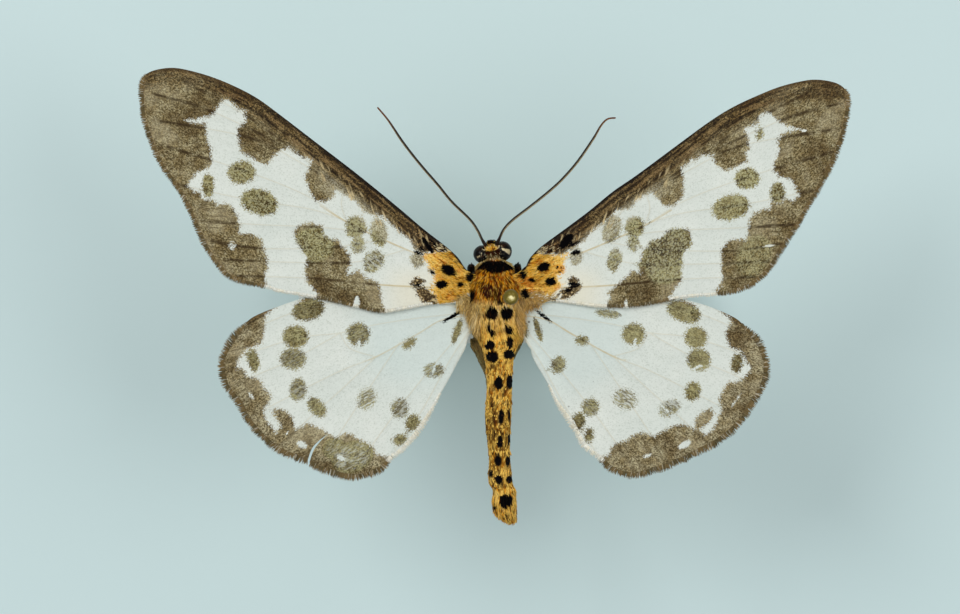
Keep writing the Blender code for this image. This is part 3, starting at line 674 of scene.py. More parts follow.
# What sets the scales of the two kinds of wing apart: the turn of their lie,
# their brown tones, the share of pale grain, of dark veins and of olive
# flecks, the olive cast, the width of the dark front band and the rim's tone
FOREWING_LOOK = {
    "lie": 38, "dark": (74, 62, 34), "light": (172, 158, 116), "pale_grain": 0.55, "dark_vein": 0.8,
    "olive": (242, 248, 224), "olive_fleck": 0.5, "front_band": (0.75, 1.95), "rim": (118, 90, 54),
}
HINDWING_LOOK = {
    "lie": -28, "dark": (78, 66, 40), "light": (188, 176, 138), "pale_grain": 0.68, "dark_vein": 0.35,
    "olive": (232, 236, 210), "olive_fleck": 0.2, "front_band": (0.2, 0.5), "rim": (92, 78, 50),
}
FOREWING_VEINS = [
    [(1.4, 1.8), (4.0, 3.8), (8.0, 6.8), (14.0, 11.2), (18.6, 14.6)],
    [(9.0, 6.6), (14.0, 10.2), (19.0, 13.9), (23.4, 16.6)],
    [(13.0, 8.8), (17.0, 11.6), (21.0, 14.4), (26.4, 17.2)],
    [(17.0, 11.6), (20.5, 13.3), (25.0, 15.2), (29.2, 16.3)],
    [(2.0, 1.5), (6.0, 4.0), (9.0, 6.0), (12.8, 8.6), (17.0, 11.0), (21.0, 12.8), (29.2, 14.2)],
    [(12.8, 8.6), (13.1, 7.4), (12.6, 6.0)],
    [(1.6, 1.2), (6.0, 3.2), (9.0, 4.4), (12.6, 6.0), (16.0, 8.1), (21.3, 10.1), (28.5, 12.2)],
    [(13.2, 6.3), (16.0, 7.1), (21.0, 7.8), (27.0, 9.0)],
    [(11.0, 5.2), (15.0, 5.6), (20.0, 5.8), (25.2, 6.1)],
    [(9.6, 4.6), (14.0, 4.0), (20.0, 3.9), (24.2, 4.5)],
    [(7.6, 3.8), (12.0, 2.8), (18.0, 2.8), (23.1, 3.0)],
    [(1.6, 0.7), (6.0, 0.8), (10.0, 1.0), (15.6, 1.5), (22.0, 1.7)],
]
# The strong veins that close the middle of each wing, drawn darker
FOREWING_CELL = [
    [(5.0, 2.8), (6.0, 3.2), (9.0, 4.4), (12.6, 6.0), (15.0, 7.4)],
    [(5.0, 0.78), (6.0, 0.8), (10.0, 1.0), (15.6, 1.5)],
]
HINDWING_CELL = [[(1.8, -1.5), (4.4, -1.9), (6.5, -3.1), (10.0, -5.0), (11.4, -5.4)]]
HINDWING_VEINS = [
    [(1.6, -1.2), (5.0, -0.5), (10.0, -0.1), (16.0, -1.0), (21.2, -3.0)],
    [(2.0, -1.3), (6.0, -1.7), (10.0, -2.3), (13.0, -3.0), (17.0, -3.5), (22.6, -5.4)],
    [(13.0, -3.0), (17.0, -5.2), (20.5, -6.7), (22.3, -7.7)],
    [(13.0, -3.0), (12.2, -4.3), (10.0, -5.0)],
    [(1.8, -1.5), (4.4, -1.9), (6.5, -3.1), (10.0, -5.0), (13.5, -6.4), (21.0, -10.2)],
    [(10.0, -5.0), (13.0, -7.8), (15.5, -10.0), (18.2, -12.5)],
    [(8.0, -3.8), (10.5, -7.5), (12.8, -11.0), (14.8, -14.2)],
    [(1.8, -1.8), (5.0, -5.5), (8.6, -10.0), (12.0, -14.8)],
    [(1.6, -2.1), (3.6, -5.0), (6.2, -9.6), (8.7, -13.2)],
]
# Outlines, from the root along the front edge, round the tip and back
OUTLINES = {
    "forewing_left": [
        (-1.1, 1.6), (-2.3, 2.25), (-3.1, 3.35), (-4.2, 4.35), (-6.0, 5.75), (-8.0, 7.45),
        (-10.0, 9.1), (-12.0, 10.7), (-15.0, 13.0), (-18.0, 15.3), (-20.0, 16.75), (-22.0, 17.8),
        (-24.0, 18.6), (-26.0, 19.15), (-27.2, 19.3), (-28.4, 19.15), (-29.5, 18.75), (-30.0, 17.9),
        (-29.97, 16.6), (-29.8, 15.0), (-29.15, 13.0), (-28.4, 11.2), (-27.3, 9.6), (-26.3, 8.0),
        (-25.4, 6.0), (-24.5, 4.0), (-23.5, 2.5), (-22.5, 1.5), (-21.2, 1.0), (-19.2, 0.65),
        (-18.0, 0.3), (-15.0, -0.2), (-12.0, -0.9), (-9.6, -1.4), (-8.0, -1.2), (-6.0, -0.85),
        (-3.4, -0.5), (-1.1, -0.3),
    ],
    "forewing_right": [
        (1.1, 1.6), (2.45, 2.3), (3.0, 3.3), (4.0, 4.3), (6.0, 5.77), (8.0, 7.27), (10.0, 8.9),
        (12.0, 10.28), (15.0, 12.5), (18.0, 14.7), (20.0, 15.95), (22.0, 16.9), (24.0, 17.7),
        (26.0, 18.2), (27.2, 18.3), (28.5, 18.1), (29.5, 17.65), (30.0, 16.9), (30.0, 15.7),
        (29.75, 14.3), (29.05, 12.0), (28.1, 10.0), (26.95, 8.0), (25.8, 6.0), (24.5, 4.0),
        (23.2, 2.0), (22.2, 1.1), (21.0, 0.45), (19.5, 0.1), (16.5, -0.1), (14.5, -0.45),
        (12.0, -0.9), (9.0, -0.95), (6.0, -0.57), (4.5, -0.45), (3.6, -0.7), (1.1, -0.3),
    ],
    "hindwing_left": [
        (-1.1, -0.9), (-3.0, -0.7), (-6.0, 0.5), (-10.0, 1.2), (-13.5, 0.9), (-16.0, 0.0),
        (-18.0, -0.7), (-20.0, -1.5), (-21.5, -2.4), (-22.6, -3.6), (-23.3, -5.2), (-23.3, -6.5),
        (-22.9, -7.8), (-21.8, -9.2), (-21.1, -10.6), (-19.6, -12.3), (-18.0, -13.4),
        (-16.2, -14.15), (-14.5, -14.95), (-12.5, -15.5), (-10.8, -15.4), (-9.3, -14.8),
        (-8.5, -13.85), (-7.5, -13.0), (-6.55, -12.0), (-5.3, -10.0), (-4.35, -8.0),
        (-3.35, -6.0), (-2.5, -4.4), (-2.1, -3.2), (-1.1, -2.4),
    ],
    "hindwing_right": [
        (1.1, -0.9), (3.0, -0.7), (6.0, 0.5), (10.0, 1.2), (13.5, 0.8), (16.0, -0.15),
        (18.0, -0.75), (20.0, -1.6), (21.6, -2.6), (22.6, -3.6), (23.2, -5.2), (23.3, -6.5),
        (22.8, -8.0), (21.9, -9.4), (21.0, -10.8), (19.5, -12.2), (17.6, -13.25), (15.5, -14.3),
        (13.5, -15.0), (12.0, -15.35), (10.6, -15.2), (9.4, -14.6), (8.6, -13.8), (7.3, -12.7),
        (6.35, -11.0), (5.1, -9.0), (4.25, -7.0), (3.2, -5.0), (2.85, -3.4), (1.1, -2.4),
    ],
}
# Brown bands along the edges, each closed by places outside the wing
BANDS = {
    "forewing_left": [[
        (-3.3, 4.6), (-3.6, 3.95), (-4.2, 3.75), (-4.8, 3.8), (-5.3, 3.7), (-6.0, 3.6), (-6.7, 3.9),
        (-6.9, 4.4), (-7.3, 4.9),
        (-8.0, 5.4), (-8.8, 6.2), (-9.3, 6.7), (-11.0, 7.1), (-11.7, 8.0),
        (-12.5, 8.5), (-13.3, 9.0), (-13.5, 8.4), (-14.2, 8.0), (-15.0, 8.1), (-15.7, 9.0),
        (-15.95, 10.2), (-15.4, 11.5), (-16.6, 12.0), (-17.3, 12.6), (-18.0, 12.3), (-18.4, 12.0),
        (-19.2, 11.1), (-20.4, 11.6), (-21.4, 12.2), (-21.5, 13.0), (-21.7, 14.2), (-21.0, 14.8),
        (-20.9, 15.6), (-21.6, 15.7), (-22.4, 16.6), (-22.9, 16.5), (-23.3, 16.0), (-23.7, 15.3),
        (-24.1, 15.1), (-26.0, 14.85), (-24.3, 14.6), (-24.1, 13.0), (-23.8, 12.5), (-23.8, 11.1),
        (-24.2, 10.7), (-24.9, 10.6), (-25.8, 9.3), (-25.3, 8.9), (-24.7, 8.8), (-24.6, 8.3),
        (-23.6, 8.2), (-23.4, 7.6), (-22.8, 7.95), (-22.2, 7.7), (-21.6, 6.9), (-21.45, 6.0),
        (-21.5, 5.4), (-20.2, 5.3), (-19.6, 4.8), (-19.1, 3.3), (-19.1, 2.4), (-19.3, 1.8),
        (-19.2, 0.2), (-24.0, -1.0), (-33.0, 8.0), (-33.0, 22.0), (-20.0, 21.0), (-3.3, 8.0),
    ], [
        (-16.9, 5.6), (-16.4, 6.1), (-15.4, 6.25), (-14.5, 6.0), (-14.3, 5.2), (-13.2, 4.8),
        (-12.7, 4.2), (-12.2, 3.6), (-12.1, 2.8), (-12.4, 1.9), (-11.5, 2.3), (-10.8, 1.6),
        (-10.2, 1.5), (-9.8, 1.2), (-9.6, 0.6), (-9.4, -0.6), (-9.1, -1.1), (-9.3, -2.0),
        (-13.0, -2.0), (-15.2, -1.0), (-14.9, 0.2), (-15.8, 1.3), (-16.0, 2.0), (-15.8, 3.3),
        (-16.5, 4.3), (-16.9, 5.0),
    ]],
    "forewing_right": [[
        (3.3, 4.4), (3.5, 3.75), (4.1, 3.55), (4.7, 3.6), (5.5, 3.5), (6.0, 3.7), (6.7, 4.0),
        (7.2, 4.4), (7.6, 4.8),
        (8.2, 5.4), (8.8, 6.0), (9.5, 6.3), (10.2, 7.2), (11.5, 7.4),
        (12.0, 8.2), (13.2, 8.8), (13.6, 8.3), (14.3, 7.6), (15.2, 7.7), (15.9, 8.6), (16.0, 9.8),
        (15.7, 10.9), (16.3, 11.2), (16.6, 11.6), (17.0, 11.2), (17.2, 12.0), (18.4, 11.9),
        (18.5, 11.2), (19.5, 10.6), (20.2, 10.8), (21.3, 11.4), (21.2, 12.2), (21.5, 12.6),
        (21.4, 13.3), (21.0, 14.2), (22.2, 14.6), (22.3, 15.3), (23.0, 15.5), (23.7, 14.9),
        (25.3, 14.1), (24.2, 13.7), (23.8, 13.2), (23.9, 12.2), (23.5, 11.3), (23.5, 10.7),
        (23.9, 10.1), (24.9, 9.9), (25.3, 9.2), (25.6, 8.5), (25.1, 8.1), (24.5, 8.3),
        (24.1, 8.0), (23.3, 8.0), (23.1, 7.4), (22.5, 7.4), (21.9, 7.1), (21.4, 6.4), (21.2, 4.9),
        (19.9, 4.8), (19.5, 4.5), (19.0, 4.0), (19.1, 3.3), (19.1, 2.0), (19.2, 1.5), (19.0, 1.0),
        (18.6, 0.5), (18.6, -0.5), (24.0, -1.0), (33.0, 8.0), (33.0, 21.0), (20.0, 20.0), (3.3, 8.0),
    ], [
        (14.0, 5.0), (14.6, 5.6), (15.5, 5.9), (16.2, 5.8), (16.6, 5.3), (16.6, 4.3), (16.0, 3.7),
        (15.8, 3.0), (15.8, 1.3), (15.3, 0.8), (15.0, 0.2), (14.4, -0.6), (14.0, -2.0), (9.3, -2.0),
        (9.3, -0.9), (9.7, -0.1), (9.4, 0.3), (9.7, 0.6), (10.8, 1.4), (11.1, 1.8), (11.6, 2.3),
        (12.3, 2.0), (12.1, 2.6), (12.3, 3.3), (12.6, 4.0), (13.0, 4.7),
    ]],
    "hindwing_left": [[
        (-18.4, -0.8), (-19.3, -1.5), (-19.4, -3.0), (-19.6, -3.8), (-20.0, -4.1), (-20.9, -4.4),
        (-21.5, -5.2), (-21.75, -6.0), (-21.2, -6.0), (-20.8, -6.7), (-20.0, -6.85), (-19.6, -7.2),
        (-19.5, -7.7), (-19.1, -7.9), (-18.8, -8.5), (-19.1, -9.0), (-19.5, -9.5), (-19.3, -10.3),
        (-18.8, -10.9), (-18.45, -11.45), (-18.1, -11.0), (-18.2, -10.6), (-18.9, -9.6),
        (-18.3, -9.4), (-17.6, -9.6), (-17.0, -10.2), (-16.8, -11.2), (-16.4, -10.9),
        (-15.7, -10.65), (-14.6, -11.1), (-14.0, -11.5), (-13.4, -11.9), (-12.6, -11.5),
        (-12.0, -11.55), (-11.5, -12.0), (-10.7, -12.3), (-10.2, -12.7), (-10.0, -13.3),
        (-9.0, -13.5), (-8.4, -13.7), (-8.0, -15.0), (-12.0, -18.0), (-20.0, -16.0), (-26.0, -8.0),
        (-25.0, -2.0), (-20.0, 0.5),
    ]],
    "hindwing_right": [[
        (18.9, -1.0), (20.0, -2.0), (19.5, -2.9), (19.6, -3.6), (19.9, -4.3), (20.7, -4.5),
        (21.1, -5.2), (21.5, -5.9), (21.6, -6.2), (21.0, -6.8), (20.3, -7.2), (19.8, -7.1), (19.5, -7.5),
        (18.9, -8.6), (19.2, -9.5), (18.9, -10.2), (18.4, -11.2), (17.8, -11.6), (17.3, -11.2),
        (18.0, -10.7), (18.6, -9.9), (18.3, -9.4), (17.6, -9.6), (16.9, -10.4), (16.9, -11.2),
        (16.2, -10.8), (15.5, -10.7), (14.8, -11.0), (14.0, -11.4), (13.4, -11.8), (12.9, -11.5),
        (12.4, -11.4), (11.6, -11.7), (11.2, -12.1), (10.6, -12.2), (10.2, -12.4), (9.8, -12.8),
        (9.7, -13.3), (8.5, -13.7), (8.5, -15.0), (12.0, -18.0), (20.0, -16.0), (26.0, -8.0),
        (25.0, -2.0), (20.0, 0.0),
    ]],
}
# Brown spots: middle, half length, half width, turn and how faded
SPOTS = {
    "forewing_left": [
        (-21.3, 10.5, 1.2, 1.0, 0, 0.1), (-19.8, 8.0, 1.62, 1.12, -20, 0.12),
        (-24.1, 9.35, 1.05, 0.55, 90, 0.1), (-11.7, 5.9, 1.0, 0.9, 90, 0.18),
        (-11.5, 4.4, 0.75, 0.6, 90, 0.32), (-9.75, 5.45, 1.2, 0.75, 100, 0.14),
        (-10.2, 3.0, 1.05, 0.85, 60, 0.4), (-6.5, 3.15, 0.72, 0.58, 90, 0.18),
        (-6.5, 1.2, 0.62, 0.46, 20, 0.0), (-5.7, 0.05, 1.15, 0.6, -42, 0.0),
        (-5.3, 2.15, 0.28, 0.20, -30, 0.0),
    ],
    "forewing_right": [
        (21.3, 10.0, 1.05, 0.95, 0, 0.12), (19.9, 7.55, 1.65, 1.08, 15, 0.1),
        (23.8, 8.8, 0.9, 0.65, 80, 0.1), (22.35, 13.75, 0.6, 0.35, 80, 0.2),
        (11.8, 5.9, 0.9, 0.85, 90, 0.15), (11.7, 4.5, 0.65, 0.55, 90, 0.3),
        (9.9, 5.75, 1.25, 0.8, 70, 0.27), (10.1, 3.1, 1.0, 0.6, 75, 0.27),
        (6.85, 3.4, 0.72, 0.55, 80, 0.32), (6.65, 1.35, 0.5, 0.42, 0, 0.0),
        (6.25, 0.45, 1.3, 0.5, 32, 0.0),
        (4.9, -0.2, 0.30, 0.20, 0, 0.0),
        (11.8, 2.8, 0.2, 0.15, 0, 0.4), (12.9, 6.4, 0.18, 0.12, 0, 0.5),
    ],
    "hindwing_left": [
        (-15.7, -1.05, 1.4, 0.95, 15, 0.12), (-16.8, -3.35, 1.10, 0.98, 0, 0.12),
        (-17.0, -5.2, 1.12, 0.92, 0, 0.26), (-16.6, -7.8, 0.97, 0.72, 80, 0.3),
        (-15.0, -9.3, 0.98, 0.62, -50, 0.2), (-11.5, -3.15, 1.0, 0.98, 0, 0.22),
        (-7.2, -3.9, 0.65, 0.38, 40, 0.1), (-10.8, -8.6, 0.95, 0.75, 60, 0.58),
        (-8.0, -9.4, 0.85, 0.74, 90, 0.38), (-6.9, -10.6, 0.74, 0.6, 60, 0.1),
        (-8.0, -12.05, 0.66, 0.48, 20, 0.15), (-5.1, -6.2, 0.9, 0.62, 0, 0.4),
        (-3.15, -2.9, 1.12, 0.30, 70, 0.1),
        (-20.35, -5.3, 1.0, 0.5, -78, 0.12),
    ],
    "hindwing_right": [
        (9.6, -1.4, 1.1, 0.35, -8, 0.3), (16.0, -1.25, 1.5, 0.9, -20, 0.15),
        (17.0, -3.4, 0.98, 0.95, 0, 0.12), (17.25, -5.3, 1.0, 0.98, 0, 0.15),
        (16.75, -7.95, 0.85, 0.65, 75, 0.12), (14.8, -9.4, 0.95, 0.65, 25, 0.45),
        (11.75, -3.15, 0.98, 0.95, 0, 0.12), (7.4, -3.65, 0.55, 0.42, 0, 0.1),
        (5.4, -5.7, 0.75, 0.6, 70, 0.2), (4.5, -6.1, 0.22, 0.12, 0, 0.3),
        (11.0, -8.6, 1.0, 0.82, -20, 0.64), (8.1, -9.3, 0.8, 0.72, 60, 0.25),
        (7.1, -10.5, 0.8, 0.6, 70, 0.12), (8.0, -11.7, 0.64, 0.42, 80, 0.15),
        # The streak at (2.6, -2.9) along the body is painted shade beside the body
        (3.68, -2.75, 1.1, 0.26, -74, 0.1), (2.6, -2.9, 0.75, 0.22, 88, 0.1),
        (20.45, -5.55, 0.88, 0.5, 80, 0.12),
    ],
}
# Places where the brown is thinner: as above, but they add no brown
FADES = {
    "forewing_left": [(-15.2, 4.4, 1.7, 1.5, 0, 0.14)],
    "forewing_right": [(14.6, 3.6, 2.5, 2.0, 70, 0.2), (21.8, 3.4, 2.0, 1.5, 60, 0.07)],
    "hindwing_left": [(-12.0, -13.5, 1.7, 1.2, 20, 0.34), (-13.5, -12.8, 0.9, 0.8, 0, 0.3)],
}
# White gaps in the brown: middle, half length, half width and turn
GAPS = {
    "forewing_left": [(-22.1, 4.33, 0.32, 0.26, 90), (-11.65, -0.75, 0.85, 0.24, 84)],
    "forewing_right": [
        (11.1, -0.6, 0.35, 0.12, 90), (23.0, 4.3, 0.9, 0.04, 5), (6.15, 0.95, 0.3, 0.07, 8),
        (5.5, 0.0, 0.3, 0.1, 60), (25.9, 14.05, 0.6, 0.06, -12),
    ],
    "hindwing_left": [
        (-16.25, -12.45, 0.46, 0.26, -25), (-12.95, -13.6, 0.38, 0.22, -35),
        (-20.55, -8.3, 0.42, 0.09, -55), (-11.45, -3.95, 0.4, 0.09, 80), (-5.15, -6.2, 0.6, 0.06, 70),
        (-17.5, -11.5, 0.3, 0.03, 50),
    ],
    "hindwing_right": [
        (16.05, -12.45, 0.6, 0.26, 30), (12.9, -13.4, 0.4, 0.1, 20), (20.6, -8.4, 0.3, 0.06, 60),
        (20.2, -9.0, 0.35, 0.07, 60), (11.85, -3.9, 0.45, 0.1, 80), (14.5, -9.5, 0.5, 0.09, -45),
        (17.2, -5.9, 0.5, 0.1, 25), (21.2, -6.15, 0.5, 0.26, 40),
    ],
}
# Amber bases of the forewings
AMBER = {
    "forewing_left": [
        (-1.5, 0.5), (-2.6, 0.3), (-3.4, -0.15), (-4.2, -0.55), (-4.8, -0.55), (-4.95, -0.1), (-5.3, 0.3),
        (-5.55, 0.75), (-5.1, 0.8), (-5.05, 1.35), (-5.05, 1.9), (-5.25, 2.3), (-5.6, 2.6),
        (-5.55, 2.8), (-5.75, 2.95), (-6.0, 3.1), (-6.0, 3.6), (-5.3, 3.75), (-4.7, 3.85), (-4.2, 3.8),
        (-3.8, 3.85), (-3.5, 4.3), (-1.5, 4.0),
    ],
    "forewing_right": [
        (1.5, 0.6), (2.9, 0.45), (3.5, 0.55), (4.2, 0.3), (4.7, 0.15), (5.2, 0.5), (5.5, 0.8),
        (5.8, 1.1), (5.4, 1.35), (5.3, 1.8), (5.8, 1.95), (5.95, 2.3), (5.85, 2.8), (5.8, 3.1), (6.0, 3.35),
        (6.3, 3.5), (6.3, 3.8), (5.6, 3.5), (5.0, 3.55), (4.5, 3.7), (4.1, 3.6), (3.7, 3.7),
        (3.4, 4.2), (1.5, 4.0),
    ],
}
# Black spots and streaks near the body, as above without the fade
BASE_SPOTS = {
    "forewing_left": [
        (-3.88, 2.27, 0.66, 0.44, -25), (-4.45, 1.05, 0.52, 0.34, 5), (-2.87, 1.05, 0.28, 0.2, 30),
        (-5.2, 2.05, 0.2, 0.12, -20), (-5.65, 4.38, 0.85, 0.17, -56), (-5.2, 4.6, 0.5, 0.07, -50),
        (-6.45, 3.72, 0.5, 0.1, -18), (-6.2, 4.15, 0.35, 0.1, -45), (-6.45, 1.02, 0.55, 0.09, 2),
        (-2.05, 1.65, 0.33, 0.42, 0), (-4.35, 3.95, 0.3, 0.06, 20),
    ],
    "forewing_right": [
        (4.15, 2.53, 0.56, 0.38, 15), (4.75, 1.3, 0.45, 0.35, 5), (3.16, 1.41, 0.3, 0.19, -20),
        (2.62, 0.25, 0.36, 0.46, 15), (6.05, 4.7, 0.78, 0.36, 50), (6.75, 4.5, 0.5, 0.12, 20),
        (6.85, 3.75, 0.38, 0.18, 10), (6.75, 1.08, 0.58, 0.12, -6), (6.35, 0.72, 0.45, 0.1, 22),
        (2.42, 1.85, 0.3, 0.38, 0), (4.7, 3.95, 0.3, 0.06, -15),
        (6.2, 0.5, 0.3, 0.07, 38), (5.5, 2.15, 0.15, 0.08, 60),
        (5.3, 2.5, 0.12, 0.06, 40), (5.7, 2.45, 0.10, 0.05, 90),
    ],
    "hindwing_left": [(-3.4, -1.55, 0.75, 0.13, 30), (-4.25, -2.05, 0.35, 0.07, 10)],
    "hindwing_right": [(4.05, -1.55, 0.68, 0.12, -38), (4.75, -2.1, 0.3, 0.05, -30)],
}
# The tear in the left hindwing, from its inner end to the rim
TEAR = [(-14.1, -11.6), (-14.8, -12.2), (-15.4, -13.0), (-15.9, -14.6)]
TEAR_HALF = 0.1


class Wing:
    """One wing: its outline, veins and pattern, and its level at each place."""

    def __init__(self, name):
        self.name = name
        self.side = -1 if name.endswith("left") else 1
        self.fore = name.startswith("fore")
        self.outline = curve(OUTLINES[name], RIM_STEP, closed=True)
        ahead = np.roll(self.outline, -1, axis=0) - np.roll(self.outline, 1, axis=0)
        self.outward = unit(np.column_stack([-ahead[:, 1], ahead[:, 0]])) * self.side
        tip = np.argmax(self.outline[:, 0] * self.side + (self.outline[:, 1] if self.fore else 0))
        self.front = self.outline[:tip + 1]
        run = np.arange(len(self.outline)) * RIM_STEP
        begin = tip * RIM_STEP - 1.2 if self.fore else 20.0
        self.fringe = FRINGE * ease(run, begin, begin + 2.4) * ease(np.abs(self.outline[:, 0]), 3.5, 6.5)
        if self.fore:
            self.fringe *= 0.4 + 0.25 * ease(np.abs(self.outline[:, 0]), 18.0, 21.0)
        self.rim = self.outline - self.outward * self.fringe[:, None]
        fit = VEIN_FIT.get(name, (1, 1))
        veins, cell = (FOREWING_VEINS, FOREWING_CELL) if self.fore else (HINDWING_VEINS, HINDWING_CELL)
        self.veins = [curve(vein, 0.5) * fit for vein in veins]
        self.cell = [curve(vein, 0.5) * fit for vein in cell]

    def vein_gap(self, spots):
        """How far each place is from the nearest vein."""
        return np.min([distance(spots, vein) for vein in self.veins], axis=0)

    def level(self, spots, gap=None):
        """Height of the membrane's middle, with its pleats between veins."""
        gap = self.vein_gap(spots) if gap is None else gap
        reach = np.abs(spots[:, 0])
        base = FOREWING_LEVEL if self.fore else HINDWING_LEVEL
        wave = 0.05 * np.sin(reach * 0.42 + spots[:, 1] * 0.3) + 0.03 * np.sin(spots[:, 1] * 0.9)
        return base + DIHEDRAL * reach - PLEAT * (1 - np.exp(-(gap / 0.7) ** 2)) + wave * ease(reach, 2, 8)

    def pattern(self, spots):
        """Depth inside the brown marks, and how faded they are."""
        depth = np.max([patch(spots, ring) for ring in BANDS[self.name]], axis=0)
        faded = np.zeros(len(spots))
        for *mark, fade in SPOTS[self.name]:
            here = oval(spots, *mark)
            faded = np.where(here > depth, fade, faded)
            depth = np.maximum(depth, here)
        for *mark, fade in FADES.get(self.name, ()):
            faded = np.maximum(faded, fade * ease(oval(spots, *mark), -0.3, 0.4))
        for mark in GAPS[self.name]:
            depth = np.minimum(depth, -1.8 * oval(spots, *mark))
        return np.clip(depth, -1, 1), faded

    def base_spots(self, spots):
        """Depth inside the black spots near the body."""
        return np.clip(np.max([oval(spots, *spot) for spot in BASE_SPOTS[self.name]], axis=0), -1, 1)

    def values(self, spots):
        """What the wing's finish reads at each place."""
        depth, faded = self.pattern(spots)
        x, y = np.abs(spots[:, 0]), spots[:, 1]
        if self.fore:
            warm = np.clip(np.minimum(patch(spots, AMBER[self.name]), 0.04 - depth), -1, 1)
            cream = ease(9.6 - x, -0.8, 2.5) * ease(3.4 - y, 0, 2.6)
            painted_root_shade = np.zeros(len(x))
        else:
            warm = np.full(len(x), -1.0)
            cream = ease(4.6 - x + 0.25 * y, -0.5, 2.0)
            # Painted shade: a cool grey over the hindwing around its root
            painted_root_shade = ease(7.0 - np.hypot(x - 6.5, y + 2.8), 0.0, 4.0)
        front = distance(spots, self.front)
        edge = distance(spots, np.vstack([self.rim, self.rim[:1]]))
        cell = np.min([distance(spots, vein) for vein in self.cell], axis=0)
        return {
            "depth": depth, "faded": faded, "black": self.base_spots(spots), "warm": warm,
            "cream": cream, "painted_root_shade": painted_root_shade, "vein": np.minimum(self.vein_gap(spots), 2.5),
            "cell": np.minimum(cell, 1.0), "front": np.minimum(front, 6.0),
            "edge": np.minimum(edge, 3.0), "reach": x / WING_REACH,
        }


def inside(spots, ring, margin):
    """Which places lie inside an outline by more than the margin."""
    return patch(spots, ring) > margin


